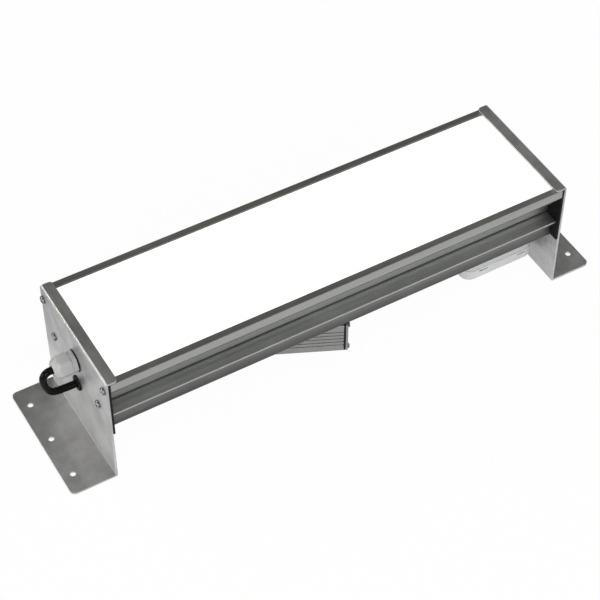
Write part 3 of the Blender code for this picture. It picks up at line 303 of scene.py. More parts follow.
class Look:
    """The node tree of a material or of the world."""

    def __init__(self, owner):
        owner.use_nodes = True
        self.tree = owner.node_tree
        self.tree.nodes.clear()

    def add(self, kind, settings=None, sockets=None, out=0):
        """Adds any node: its settings first, then values or wires for its sockets, and gives one
        output. Sockets and output go by name or number. The setting stops fills a colour ramp."""
        node = self.tree.nodes.new(kind)
        for name, value in (settings or {}).items():
            if name == "stops":
                ramp = node.color_ramp
                while len(ramp.elements) < len(value):
                    ramp.elements.new(1)
                for element, (position, colour) in zip(ramp.elements, value):
                    element.position = position
                    element.color = (*colour, 1)
            else:
                setattr(node, name, value)
        for name, value in (sockets or {}).items():
            if isinstance(value, Wire):
                self.tree.links.new(value.socket, node.inputs[name])
            else:
                node.inputs[name].default_value = value
        return Wire(self, node.outputs[out]) if len(node.outputs) else None

    def colour(self, share, low, high):
        """A colour between two, by a share."""
        low, high = [end if isinstance(end, Wire) else (*end, 1) for end in (low, high)]
        return self.add("ShaderNodeMix", {"data_type": 'RGBA'}, {0: share, 6: low, 7: high}, 2)

    def place(self, stretch=(1, 1, 1), turn=0.0):
        """Object coordinates, turned about Z and stretched."""
        here = self.add("ShaderNodeTexCoord", out="Object")
        return self.add("ShaderNodeMapping", {}, {0: here, 2: (0, 0, turn), 3: stretch})

    def ramp(self, value, start, stop, low=0.0, high=1.0):
        """Goes from low to high while the value goes from start to stop, and no farther."""
        return self.add("ShaderNodeMapRange", {}, {0: value, 1: start, 2: stop, 3: low, 4: high})

    def noise(self, where, scale, detail, roughness=0.5):
        """Noise, which lies between about 0.28 and 0.72, spread to 0 and 1."""
        value = self.add("ShaderNodeTexNoise", {}, {
            "Vector": where, "Scale": scale, "Detail": detail, "Roughness": roughness,
        })
        return self.ramp(value, 0.28, 0.72)

    def band(self, axis, low, high, ease):
        """1 where a coordinate, whatever its sign, lies between low and high, and 0 beyond them."""
        here = self.add("ShaderNodeSeparateXYZ", {}, {0: self.place()}, axis)
        here = here.maths('ABSOLUTE', here)
        return self.ramp(here, low - ease, low) * self.ramp(here, high, high + ease, 1.0, 0.0)

    def along(self, left, right):
        """A value that goes from left to right over the housing's length."""
        here = self.add("ShaderNodeSeparateXYZ", {}, {0: self.place()})
        return self.ramp(here, -PLATE, PLATE, left, right)

    def bump(self, height, strength, depth=GRAIN_DEPTH):
        """A normal that follows a height of depth metres."""
        sockets = {"Height": height, "Distance": depth, "Strength": strength}
        return self.add("ShaderNodeBump", {}, sockets)

    def dot(self, where, direction):
        """How far a direction of the surroundings agrees with another."""
        settings = {"operation": 'DOT_PRODUCT'}
        return self.add("ShaderNodeVectorMath", settings, {0: where, 1: direction}, 1)

    def shade(self, **sockets):
        """The closing shader. Underscores in the names stand for spaces."""
        named = {name.replace("_", " "): value for name, value in sockets.items()}
        shader = self.add("ShaderNodeBsdfPrincipled", {}, named)
        self.add("ShaderNodeOutputMaterial", {}, {0: shader})


def material(name):
    """A new material and its look."""
    coat = bpy.data.materials.new(name)
    return coat, Look(coat)


def sheet_steel():
    """Stainless sheet: a rolled grain across the strip, soft clouds and a few fine scratches. Bands
    of X and Z mark painted shade (on the flange, the foot, the foot beside the plate and in the
    seam between the two), painted light (on the plate low down) and a painted highlight (on the
    bend at the top, where the sheet is also less rough)."""
    coat, look = material("stainless_sheet")
    grain = look.noise(look.place((900, 30, 900)), 1.0, 4)
    clouds = look.noise(look.place(), 17.0, 3, 0.6)
    patches = look.noise(look.place(), 55.0, 4, 0.65)
    scratch = look.add("ShaderNodeTexNoise", {}, {
        "Vector": look.place((40, 700, 90), 0.5), "Scale": 1.0, "Detail": 2,
    })
    scratch = look.ramp(scratch, 0.66, 0.74)
    foot_top = look.band(2, 0.0020, 0.0026, 0.0002)
    foot = look.band(0, PLATE, 0.3300, 0.0005) * foot_top
    beside = look.band(0, PLATE, 0.2755, 0.0200) * foot_top
    # Painted shade in the seam between the foot and the plate
    seam = look.band(0, PLATE, 0.2735, 0.0006) * look.band(2, 0.0030, 0.0040, 0.0004)
    # Painted light on the plate low down
    painted_light_low = look.band(0, 0.2697, 0.2703, 0.0002) * look.band(2, 0.0040, 0.0300, 0.0400)
    flange = look.band(2, 0.14495, 0.1460, 0.0002)
    curve = look.band(0, 0.2668, 0.2710, 0.0004) * look.band(2, 0.1418, 0.1460, 0.0004)
    # Painted highlight on the bend at the top, where the sheet is also less rough
    polish_and_highlight = look.band(0, 0.2686, 0.2696, 0.0006) * look.band(2, 0.1436, 0.1446, 0.0006)
    # Painted shade on the flange, the foot and the foot beside the plate, more at the left end
    painted_shade = flange * look.along(0.36, 0.02)
    painted_shade = painted_shade + foot * look.along(0.26, 0.10) + beside * look.along(0.28, 0.0)
    tone = clouds * 0.32 + patches * 0.54 + grain * 0.14
    base = look.colour(tone, (0.34, 0.335, 0.33), (0.66, 0.66, 0.665))
    base = look.colour(painted_shade, base, (0.08, 0.08, 0.06))
    base = look.colour(painted_light_low * 0.55, base, (0.84, 0.84, 0.85))
    base = look.colour(seam * 0.30, base, (0.10, 0.10, 0.098))
    base = look.colour(polish_and_highlight * 0.2, base, (0.80, 0.80, 0.79))
    look.shade(
        Base_Color=base, Metallic=0.94,
        Roughness=0.37 + clouds * 0.10 + grain * 0.05 - scratch * 0.06 - polish_and_highlight * 0.07,
        Normal=look.bump((grain + scratch * 0.5) * (1 - curve), 0.25),
    )
    return coat


def drawn_aluminium(name, dark, light, turn=0.0, rough=0.36, strips=()):
    """Extruded aluminium: die lines along the section, with faint clouds between them. In its
    strips it is darkened with painted shade: each has a band of Y, a band of Z and its strengths at
    the two ends."""
    coat, look = material(name)
    lines = look.noise(look.place((3, 900, 900), turn), 1.0, 3)
    broad = look.noise(look.place((2, 140, 140), turn), 1.0, 2)
    clouds = look.noise(look.place(), 21.0, 3, 0.6)
    base = look.colour(lines * 0.35 + broad * 0.35 + clouds * 0.3, dark, light)
    for aside, upwards, strengths in strips:
        # Painted shade in this strip, towards near black
        shade = look.band(1, *aside) * look.band(2, *upwards) * look.along(*strengths)
        base = look.colour(shade, base, (0.02, 0.02, 0.02))
    look.shade(
        Base_Color=base, Metallic=0.98,
        Roughness=rough + lines * 0.08 + clouds * 0.06,
        Normal=look.bump(lines * 0.6 + broad * 0.4, 0.5),
    )
    return coat


def moulded(name, dark, light, rough, grain=2600.0, depth=GRAIN_DEPTH, **more):
    """Moulded plastic or rubber: a fine skin grain and slow changes of tone and gloss."""
    coat, look = material(name)
    skin = look.noise(look.place(), grain, 2)
    clouds = look.noise(look.place(), 60.0, 3, 0.6)
    look.shade(
        Base_Color=look.colour(clouds * 0.7 + skin * 0.3, dark, light), Metallic=0.0,
        Roughness=rough + clouds * 0.08 + skin * 0.05,
        Normal=look.bump(skin, 0.6, depth), **more,
    )
    return coat


def plated(name, dark, light, rough=0.26):
    """Plated steel: brushed by turning, with darker spots."""
    coat, look = material(name)
    fine = look.noise(look.place(), 1400.0, 4, 0.6)
    spots = look.noise(look.place(), 320.0, 3)
    look.shade(
        Base_Color=look.colour(fine * 0.4 + spots * 0.6, dark, light), Metallic=1.0,
        Roughness=rough + fine * 0.10 + spots * 0.05,
        Normal=look.bump(fine, 0.5),
    )
    return coat


def opal():
    """Opal acrylic that is lit from behind, with faint clouds in its tone and its light."""
    coat, look = material("opal_diffuser")
    clouds = look.noise(look.place(), 9.0, 2)
    skin = look.noise(look.place(), 1800.0, 2)
    look.shade(
        Base_Color=look.colour(clouds, (0.90, 0.90, 0.895), (0.93, 0.93, 0.925)),
        Roughness=0.42 + skin * 0.08,
        Emission_Color=look.colour(clouds, (0.97, 0.97, 0.965), (1.0, 1.0, 1.0)),
        Emission_Strength=0.55,
        Normal=look.bump(skin, 0.4, 0.00001),
    )
    return coat


# Painted shade strips: bands of Y and of Z as (low, high, ease), then the strengths at the left
# and at the right end: at the fin's root, on the leg low down, on the lip's top and on the lip's
# inner edge
PROFILE_PAINTED_SHADE = (
    ((0.0570, 0.0615, 0.003), (0.0915, 0.0942, 0.0004), (0.36, 0.05)),
    ((0.0550, 0.0665, 0.001), (0.0660, 0.0690, 0.016), (0.68, 0.62)),
    ((0.0660, 0.0760, 0.001), (0.1416, 0.1425, 0.0003), (0.33, 0.10)),
    ((0.0664, 0.0674, 0.0003), (0.1400, 0.1419, 0.0003), (0.85, 0.85)),
)

STEEL = sheet_steel()
PROFILE = drawn_aluminium(
    "anodised_profile", (0.35, 0.355, 0.345), (0.48, 0.49, 0.475), strips=PROFILE_PAINTED_SHADE,
)
SHELL = drawn_aluminium(
    "driver_shell", (0.25, 0.25, 0.25), (0.335, 0.335, 0.33), math.radians(25), 0.42,
)
OPAL = opal()
RUBBER = moulded(
    "black_rubber", (0.004, 0.004, 0.0042), (0.009, 0.009, 0.0093), 0.6, Specular_IOR_Level=0.15,
)
JACKET = moulded(
    "lead_jacket", (0.003, 0.003, 0.0032), (0.006, 0.006, 0.0063), 0.04, 1800.0, 0.000003,
    Specular_IOR_Level=0.08,
)
NYLON = moulded("grey_nylon", (0.38, 0.38, 0.38), (0.45, 0.45, 0.45), 0.42)
ZINC = plated("zinc_steel", (0.34, 0.34, 0.345), (0.52, 0.52, 0.53))
SCREW = plated("dark_screw", (0.22, 0.22, 0.215), (0.34, 0.34, 0.335), 0.18)
# Zinc steel darkened with painted shade, for the driver's end screws under the housing
PAINTED_SHADE_ZINC = plated("zinc_steel_painted_shade", (0.10, 0.10, 0.10), (0.18, 0.18, 0.18))
BOX_BASE = moulded("box_plastic", (0.50, 0.51, 0.51), (0.56, 0.57, 0.57), 0.36)
BOX_LID = moulded("box_lid_plastic", (0.57, 0.58, 0.58), (0.64, 0.65, 0.65), 0.32)
BOARD = moulded("board_white", (0.78, 0.79, 0.77), (0.86, 0.87, 0.85), 0.45)
GREEN = moulded("green_board", (0.02, 0.13, 0.06), (0.03, 0.19, 0.09), 0.4)
WHITE = moulded("white_plastic", (0.68, 0.68, 0.64), (0.76, 0.76, 0.72), 0.42)


# Pieces of the housing and its ends

def flat_blank(outlines, ease):
    """Mesh of a flat sheet with an outline, its holes and eased edges, cut from 2D splines."""
    blank = bpy.data.curves.new("blank", 'CURVE')
    blank.dimensions = '2D'
    blank.fill_mode = 'BOTH'
    blank.extrude = SHEET / 2 - ease
    blank.bevel_depth = ease
    blank.bevel_resolution = 1
    blank.offset = -ease
    for outline in outlines:
        line = blank.splines.new('POLY')
        line.points.add(len(outline) - 1)
        flat = np.column_stack([outline, np.zeros(len(outline)), np.ones(len(outline))])
        line.points.foreach_set("co", flat.ravel())
        line.use_cyclic_u = True
    item = bpy.data.objects.new("blank", blank)
    bpy.context.scene.collection.objects.link(item)
    bpy.context.view_layer.update()
    finished = item.evaluated_get(bpy.context.evaluated_depsgraph_get())
    mesh = bpy.data.meshes.new_from_object(finished)
    bpy.data.objects.remove(item)
    return mesh


def bent_sheet(side):
    """End bracket. A flat blank with its corners and holes is bent on two lines: station s runs up
    the foot, round a quarter of radius bend, up the plate, round again and along the flange. On
    each bend a point lies at centre + (bend + or - w)(cos, sin), with w its place in the sheet's
    thickness. Cuts across the blank, beside each bend too, give the bends their steps."""
    inner, ease, beside = 0.0002, 0.00035, 0.0004
    foot_hole, screw_hole, gland_hole, grommet_hole = 0.003, 0.002, 0.0083, 0.0065
    foot_corner, flange_corner = 0.006, 0.004
    bend = inner + SHEET / 2
    plate, reach, tip = PLATE - SHEET / 2, PLATE + FOOT, PLATE - FLANGE
    foot = reach - plate - bend
    up = foot + bend * QUARTER
    over = up + HEIGHT - SHEET - 2 * bend
    end = over + bend * QUARTER
    whole = end + plate - bend - tip
    raise_by = up - SHEET / 2 - bend
    corners = eased(
        [(0, -HALF_WIDTH), (whole, -HALF_WIDTH), (whole, HALF_WIDTH), (0, HALF_WIDTH)],
        [foot_corner, flange_corner, flange_corner, foot_corner], 8,
    )
    holes = [
        (reach - PLATE - FOOT_HOLE_OUT, row * FOOT_HOLE_PITCH, foot_hole) for row in (-1, 0, 1)
    ]
    holes += [(z + raise_by, y, screw_hole) for y, z in SCREW_PLACES]
    if side < 0:
        holes += [
            (GLAND_HEIGHT + raise_by, 0, gland_hole), (GROMMET_HEIGHT + raise_by, 0, grommet_hole),
        ]
    theta = np.arange(40) * 2 * np.pi / 40
    rounds = [np.column_stack([s + r * np.cos(theta), y + r * np.sin(theta)]) for s, y, r in holes]
    mesh = flat_blank([corners, *rounds], ease)
    bm = bmesh.new()
    bm.from_mesh(mesh)
    bmesh.ops.remove_doubles(bm, verts=bm.verts, dist=MERGE)
    for start, stop in ((foot, up), (over, end)):
        for s in [start - beside, *np.linspace(start, stop, 9), stop + beside]:
            whole_mesh = bm.verts[:] + bm.edges[:] + bm.faces[:]
            bmesh.ops.bisect_plane(bm, geom=whole_mesh, plane_co=(s, 0, 0), plane_no=(1, 0, 0))
    bm.to_mesh(mesh)
    bm.free()
    points = np.zeros(len(mesh.vertices) * 3)
    mesh.vertices.foreach_get("co", points)
    s, y, w = points.reshape(-1, 3).T
    low, high = [np.clip((s - start) / bend, 0, QUARTER) for start in (foot, over)]
    first = (
        plate + bend + (w - bend) * np.sin(low),
        SHEET / 2 + bend + (w - bend) * np.cos(low),
    )
    last = (
        plate - bend + (bend + w) * np.cos(high),
        HEIGHT - SHEET / 2 - bend + (bend + w) * np.sin(high),
    )
    stretches = [s < foot, s < up, s < over, s < end]
    x = np.select(stretches, [reach - s, first[0], plate + w, last[0]], tip + whole - s)
    z = np.select(
        stretches, [SHEET / 2 + w, first[1], s - raise_by, last[1]], HEIGHT - SHEET / 2 + w,
    )
    faces = [list(face.vertices) for face in mesh.polygons]
    name = "left_bracket" if side < 0 else "right_bracket"
    item = piece(f"{name}_sheet", np.stack([side * x, y, z], 1), faces, crease=20)
    wear(item, "fixture", STEEL, "stainless_sheet", name)


def housing():
    """The extrusion: its section with every corner eased, drawn out between the gaskets. The half
    section's corners are Y, Z and radius in mm. They run from the chamber's floor up its wall,
    round the lip, down the cove, round the groove, the fin and the leg, and back in the channel."""
    half = [
        (46, 92.7, .3), (52, 98.7, .3), (52, 104.1, .5), (65, 122.4, .5), (65, 136.8, .3),
        (71.5, 136.8, .2), (71.5, 140.4, .2), (67, 140.4, .2), (67, 142.2, .3), (75, 142.2, .45),
        (75, 132.2, .2), (54.5, 103.3, .8), (54.5, 95.9, .3), (50.6, 95.7, .3), (50.6, 94.0, .3),
        (54.5, 93.9, .3), (71, 92.7, .35), (71, 90.6, .35), (54.5, 90.6, .8), (65.8, 67.7, 1.1),
        (33, 67.7, .4), (33, 69.9, .3), (59.4, 69.9, .5), (54.9, 82.2, 1), (46.9, 90.2, 1),
    ]
    corners = np.array(half) / 1000
    both = np.concatenate([corners, corners[::-1] * (-1, 1, 1)])
    outline = eased(both[:, :2], both[:, 2], 4)
    item = drawn(
        "housing_extrusion", outline, -HOUSING_HALF, HOUSING_HALF, Place(turn=SECTION),
    )
    wear(item, "fixture", PROFILE, "anodised_profile", "housing_profile")


def housing_ends():
    """Opal plate under the lips, and the eight screws of the end plates, which stopped at
    different turns."""
    width, under, top = 0.1424, 0.1371, 0.1401
    plate = rectangle(2 * HOUSING_HALF, width, corner=0.0006, steps=2)
    item = drawn("opal_plate", plate, under, top, Place(), edge=0.0003)
    wear(item, "fixture", OPAL, "opal_diffuser", "diffuser")
    for end, side, turn in (("left", -1, OUT_LEFT), ("right", 1, OUT_RIGHT)):
        for number, (y, z) in enumerate(SCREW_PLACES, 1):
            spin = turn_z(0.5 + 1.3 * number + side)
            place = Place((side * (PLATE + GAP), y, z), turn @ spin)
            screw = pan_screw(
                f"{end}_pan_screw_{number}", place,
                head=0.0043, rise=0.0029, shank=0.0017, length=0.020,
            )
            wear(screw, "fixture", SCREW, "dark_screw", f"{end}_bracket_screw_{number}")


def gland():
    """Gland on the left plate: soft washer, hexagon body and cap nut with a rounded mouth. The
    sections are (radius, height) outwards from the plate, and tip is the hexagon's corner."""
    axis = Place((-PLATE, 0, GLAND_HEIGHT), OUT_LEFT)
    washer = turned("gland_soft_washer", [
        (0.0083, 0.0011), (0.0123, 0.0011), (0.0123, 0.0003), (0.0083, 0.0003),
    ], axis, radii=0.0003, around=64)
    wear(washer, "fixture", RUBBER, "black_rubber", "gland_washer")
    flats = 0.0227
    tip = flats / 2 / math.cos(SIXTH / 2)
    past, worn = tip + 0.0003, tip - 0.0004
    body = turned("gland_hexagon_body", [
        (0.0063, 0.0165), (0.008, 0.0165), (0.008, 0.0068), (0.0112, 0.0068), (0.0112, 0.0055),
        (tip - 0.0007, 0.0055), (past, 0.0049), (past, 0.0020), (tip - 0.0007, 0.0014),
        (0.008, 0.0014), (0.008, -0.0111), (0.0043, -0.0111), (0.0043, 0.0070), (0.0063, 0.0070),
    ], axis, around=120, flats=flats, corner=worn)
    wear(body, "fixture", NYLON, "grey_nylon", "gland_body")
    nut = turned("gland_dome_nut", [
        (0.0043, 0.0252), (0.0075, 0.0252), (0.0092, 0.0240), (0.01135, 0.0199), (past, 0.0181),
        (past, 0.0079), (tip - 0.0009, 0.0070), (0.0083, 0.0070), (0.0083, 0.0191),
        (0.0043, 0.0191),
    ], axis, radii=[.0006, .0008, .0014, .0006, .0004, .0004, .0003, .0002, .0002, .0002],
        around=120, flats=flats, corner=worn, angle=math.radians(-3.4))
    wear(nut, "gland_nut", NYLON, "grey_nylon", "gland_cap_nut")


def grommet():
    """Rubber grommet round the lead's way back through the left plate."""
    lip, neck, hole = 0.0086, 0.0062, 0.0043
    inner = -SHEET - GAP
    item = turned("plate_grommet", [
        (hole, 0.0023), (lip, 0.0023), (lip, GAP), (neck, GAP),
        (neck, inner), (lip, inner), (lip, inner - 0.0015), (hole, inner - 0.0015),
    ], Place((-PLATE, 0, GROMMET_HEIGHT), OUT_LEFT),
        radii=[.0009, .0009, .0002, .0002, .0002, .0002, .0003, .0003], around=64)
    wear(item, "fixture", RUBBER, "black_rubber", "cable_grommet")


def lead():
    """The supply lead: rings of LEAD_RADIUS square to a smooth line. The line is a cubic between
    each two route points, with slopes that weigh both neighbouring stretches."""
    route = np.array([
        (-0.2383, 0, 0.0992), (-0.2440, 0, 0.0996), (-0.2505, 0, 0.1026), (-0.2570, 0, 0.1054),
        (-0.2640, 0, 0.1056), (-0.2800, 0, 0.1056), (-0.2960, 0, 0.1056), (-0.3008, 0, 0.1050),
        (-0.3052, 0, 0.1003), (-0.3061, 0, 0.0934), (-0.3049, 0, 0.0862), (-0.3022, 0, 0.0792),
        (-0.2979, 0, 0.0740), (-0.2918, 0, 0.0720), (-0.2852, 0, 0.0715), (-0.2770, 0, 0.0711),
        (-0.2690, 0, 0.0711), (-0.2610, 0, 0.0711), (-0.2420, 0, 0.0730), (-0.2150, 0, 0.0775),
        (-0.1850, 0, 0.0812), (-0.1500, 0.0010, 0.0820), (-0.1150, 0.0080, 0.0820),
        (-0.0850, 0.0140, 0.0820), (-0.0600, 0.0150, 0.0820), (-0.0350, 0.0140, 0.0820),
        (-0.0050, 0.0080, 0.0820), (0.0300, 0.0010, 0.0820), (0.0700, 0, 0.0820),
        (0.1200, 0, 0.0820), (0.1600, 0, 0.0820), (0.1760, 0, 0.0820), (0.1820, 0, 0.0804),
        (0.1864, 0, 0.0760), (0.1880, 0, 0.0700), (0.1880, 0, 0.0640), (0.1896, 0, 0.0580),
        (0.1940, 0, 0.0536), (0.2000, 0, 0.0520), (0.2060, 0, 0.0520),
    ], float)
    around = 32
    stretch = np.diff(route, axis=0)
    length = np.linalg.norm(stretch, axis=1)[:, None]
    before, after = length[:-1], length[1:]
    slope = (stretch[:-1] * after / before + stretch[1:] * before / after) / (before + after)
    slope = np.concatenate([stretch[:1] / length[:1], slope, stretch[-1:] / length[-1:]])
    t = np.linspace(0, 1, 6, endpoint=False)[None, :, None]
    start, end = route[:-1, None], route[1:, None]
    leaving, arriving = slope[:-1, None], slope[1:, None]
    line = start * (2 * t**3 - 3 * t**2 + 1) + end * (3 * t**2 - 2 * t**3)
    bulge = leaving * (t**3 - 2 * t**2 + t) + arriving * (t**3 - t**2)
    line = line + length[:, None] * bulge
    line = np.concatenate([line.reshape(-1, 3), route[-1:]])
    ahead = np.gradient(line, axis=0)
    ahead /= np.linalg.norm(ahead, axis=1)[:, None]
    aside = np.cross(ahead, (0.0, 1.0, 0.0))
    aside /= np.linalg.norm(aside, axis=1)[:, None]
    third = np.cross(ahead, aside)
    theta = (np.arange(around) * 2 * np.pi / around)[None, :, None]
    spokes = np.cos(theta) * aside[:, None] + np.sin(theta) * third[:, None]
    rings = line[:, None] + LEAD_RADIUS * spokes
    faces = cells(len(line), around).tolist()
    faces += [list(range(around)), list(range(around * (len(line) - 1), around * len(line)))]
    item = piece("supply_lead_jacket", rings, faces, crease=60)
    wear(item, "fixture", JACKET, "lead_jacket", "supply_lead")


# Pieces of the driver

def driver():
    """Case with five grooves along each side, and at each end a gasket, a plate, four screws and
    an inlet. Heights run down from the case's top to low."""
    low, first, pitch, gap, deep = -0.0388, 0.0088, 0.00495, 0.0016, 0.0012
    side, half, corner = 0.034, 0.0855, 0.0015
    corners = [(side, 0, corner)]
    for rib in range(4, -1, -1):
        start = low + first + rib * pitch
        corners += [
            (side, start + gap, .00035), (side - deep, start + gap, .0003),
            (side - deep, start, .0003), (side, start, .00035),
        ]
    corners = np.array(corners + [(side, low, corner)])
    both = np.concatenate([corners, corners[::-1] * (-1, 1, 1)])
    along = DRIVER.within((0, 0, 0), SECTION)
    case = drawn("driver_case_shell", eased(both[:, :2], both[:, 2], 3), -half, half, along)
    wear(case, "driver", SHELL, "driver_shell", "driver_case")
    end = rectangle(2 * side, -low, corner, 4) + (0, low / 2)
    gasket, plate, face = half + GAP, half + 0.0021, half + 0.0049
    spans = (
        (gasket, gasket + 0.0015, "gasket", RUBBER, "black_rubber", 0.0),
        (plate, plate + 0.0025, "plate", SHELL, "driver_shell", 0.0004),
    )
    screw_in, screw_out = 0.00265, 0.0295
    screw_places = [(y * screw_out, z) for y in (-1, 1) for z in (-screw_in, screw_in + low)]
    for label, sign, turn in (("left", -1, OUT_LEFT), ("right", 1, OUT_RIGHT)):
        for near, far, kind, finish, slot, edge in spans:
            start, stop = sorted((sign * near, sign * far))
            item = drawn(f"driver_{label}_{kind}", end, start, stop, along, edge)
            wear(item, "driver", finish, slot, f"driver_{label}_end_{kind}")
        for number, (y, z) in enumerate(screw_places, 1):
            place = DRIVER.within((sign * face, y, z), turn @ turn_z(0.7 * number))
            screw = pan_screw(
                f"driver_{label}_pan_screw_{number}", place,
                head=0.0027, rise=0.0020, shank=0.0015, length=0.013, around=48,
            )
            wear(screw, "driver", PAINTED_SHADE_ZINC, "zinc_steel", f"driver_{label}_end_screw_{number}")
        inlet = turned(f"driver_{label}_rubber_inlet", [
            (0.0025, 0.009), (0.0035, 0.009), (0.006, 0.0045), (0.006, 0.0), (0.0045, 0.0),
            (0.0045, -0.0069), (0.0025, -0.0069),
        ], DRIVER.within((sign * face, 0, low / 2), turn), radii=0.0004)
        wear(inlet, "driver", RUBBER, "black_rubber", f"driver_{label}_inlet")


# Pieces of the junction box

def tray(name, closed, rim, windows):
    """Thin tray with round corners. Rings of a rounded rectangle run from the closed face's middle
    over a quarter round and up the wall to the rim, and the cells inside a window are left out.
    A window has its side, its left end and its low and high edge."""
    up = np.sign(rim - closed)
    edge, middle, near_wall = 0.0015, 0.03, 0.002
    rows = [(middle, closed), (edge * 1.05, closed)]
    rows += [
        (edge * (1 - math.sin(turn)), closed + up * edge * (1 - math.cos(turn)))
        for turn in np.linspace(0, QUARTER, 5)
    ]
    levels = sorted({z for window in windows for z in window[2:]}, reverse=bool(up < 0))
    rows += [(0.0, z) for z in levels] + [(0.0, rim)]
    half, straight = BOX_SIDE / 2, BOX_SIDE / 2 - BOX_CORNER
    ends = sorted({x for _, left, _, _ in windows for x in (left, left + WINDOW)})
    stops = np.array([-straight, *ends, straight])
    arc = np.linspace(0, QUARTER, 9)[1:-1]
    rings = []
    for inward, z in rows:
        innermost = inward == middle
        radius = 0.0 if innermost else BOX_CORNER - inward
        reach = half - inward
        base = reach - radius
        line = stops * base / straight if innermost else stops
        bend = np.column_stack([np.cos(arc), np.sin(arc)]) * radius
        near = np.column_stack([line, np.full(len(line), -reach)])
        right = np.column_stack([np.full(len(line), reach), line])
        ring = np.concatenate([
            near, bend[:, ::-1] * (1, -1) + (base, -base), right, bend + (base, base),
            near[::-1] * (1, -1), bend[:, ::-1] * (-1, 1) + (-base, base),
            right[::-1] * (-1, 1), -bend + (-base, -base),
        ])
        rings.append(np.column_stack([ring, np.full(len(ring), z)]))
    count = len(rings[0])
    points = np.array(rings)
    faces = cells(len(rings), count)
    x, y, z = points.reshape(-1, 3)[faces].mean(1).T
    keep = np.ones(len(faces), bool)
    for side, left, low, high in windows:
        across = (x > left) & (x < left + WINDOW) & (side * y > half - near_wall)
        keep &= ~(across & (z > low) & (z < high))
    bottom = list(range(count))
    faces = faces[keep].tolist() + [bottom[::-1] if up > 0 else bottom]
    return piece(name, BOX(points.reshape(-1, 3)), faces, thickness=BOX_WALL)


def box():
    """Base, lid with four snap windows, the hooks that show in them, the seal and three soft
    inlets. Heights run down from the box's top."""
    rim, low, high = -0.0318, -0.0375, -0.0351
    base = tray("box_base_shell", 0.0, rim, [])
    wear(base, "fixture", BOX_BASE, "box_plastic", "box_base")
    windows = [(side, x - WINDOW / 2, low, high) for side in (-1, 1) for x in (-0.0219, 0.0279)]
    lid = tray("box_lid_shell", -0.0462, -0.0333, windows)
    wear(lid, "fixture", BOX_LID, "box_lid_plastic", "box_lid")
    hook = np.array([
        (0.0417, -0.0322), (0.0431, -0.0322), (0.0431, high - GAP), (0.0446, high - GAP),
        (0.0446, -0.0369), (0.0431, low + GAP), (0.0417, low + GAP),
    ])
    along = BOX.within((0, 0, 0), SECTION)
    for number, (side, left, _, _) in enumerate(windows, 1):
        outline = eased(hook * (side, 1), 0.0002, steps=2)
        item = drawn(f"box_hook_{number}", outline, left + GAP, left + WINDOW - GAP, along)
        wear(item, "fixture", BOX_BASE, "box_plastic")
    ring = rectangle(BOX_SIDE - 2 * GAP, BOX_SIDE - 2 * GAP, corner=0.0117, steps=8)
    seal = drawn("box_soft_seal", ring, -0.0330, -0.0321, BOX, edge=0.0003)
    wear(seal, "fixture", NYLON, "grey_nylon", "box_seal")
    places = (
        ("left_near", (-BOX_SIDE / 2, -0.022, rim / 2), OUT_LEFT),
        ("left_far", (-BOX_SIDE / 2, 0.022, rim / 2), OUT_LEFT),
        ("side", (0, BOX_SIDE / 2, rim / 2), OUT_FAR),
    )
    for label, shift, turn in places:
        item = turned(f"box_{label}_soft_inlet", [
            (0, 0.0011), (0.005, 0.0011), (0.005, 0.0015), (0.008, 0.0015), (0.008, 0.0003),
            (0.0062, 0.0003), (0.0062, -0.0023), (0.008, -0.0023), (0.008, -0.0035),
            (0.005, -0.0035), (0.005, 0.0003), (0, 0.0003),
        ], BOX.within(shift, turn),
            radii=[0, .0002, .0003, .0005, .0002, .0002, .0002, .0002, .0002, .0002, .0002, 0])
        wear(item, "fixture", NYLON, "grey_nylon", f"box_{label}_membrane")


for side in (-1, 1):
    bent_sheet(side)
housing()
housing_ends()
gland()
grommet()
lead()
driver()
box()

# Finishes of the nodes that stay as they are
KEPT = {
    "left_end_gasket": RUBBER, "right_end_gasket": RUBBER,
    "led_board_left": BOARD, "led_board_right": BOARD, "led_connector": WHITE,
    "gland_locknut": NYLON, "gland_seal": RUBBER, "gland_clamp_ring": NYLON,
    "driver_circuit": GREEN, "driver_bolt": ZINC, "driver_washer": ZINC, "driver_clamp_bar": ZINC,
    "box_clamp_bar": ZINC, "box_screw_1": ZINC, "box_screw_2": ZINC,
    "box_entry_grommet": RUBBER, "terminal_block": WHITE,
}
for name, finish in KEPT.items():
    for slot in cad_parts[name].material_slots:
        slot.material = finish


# Floor, light and camera

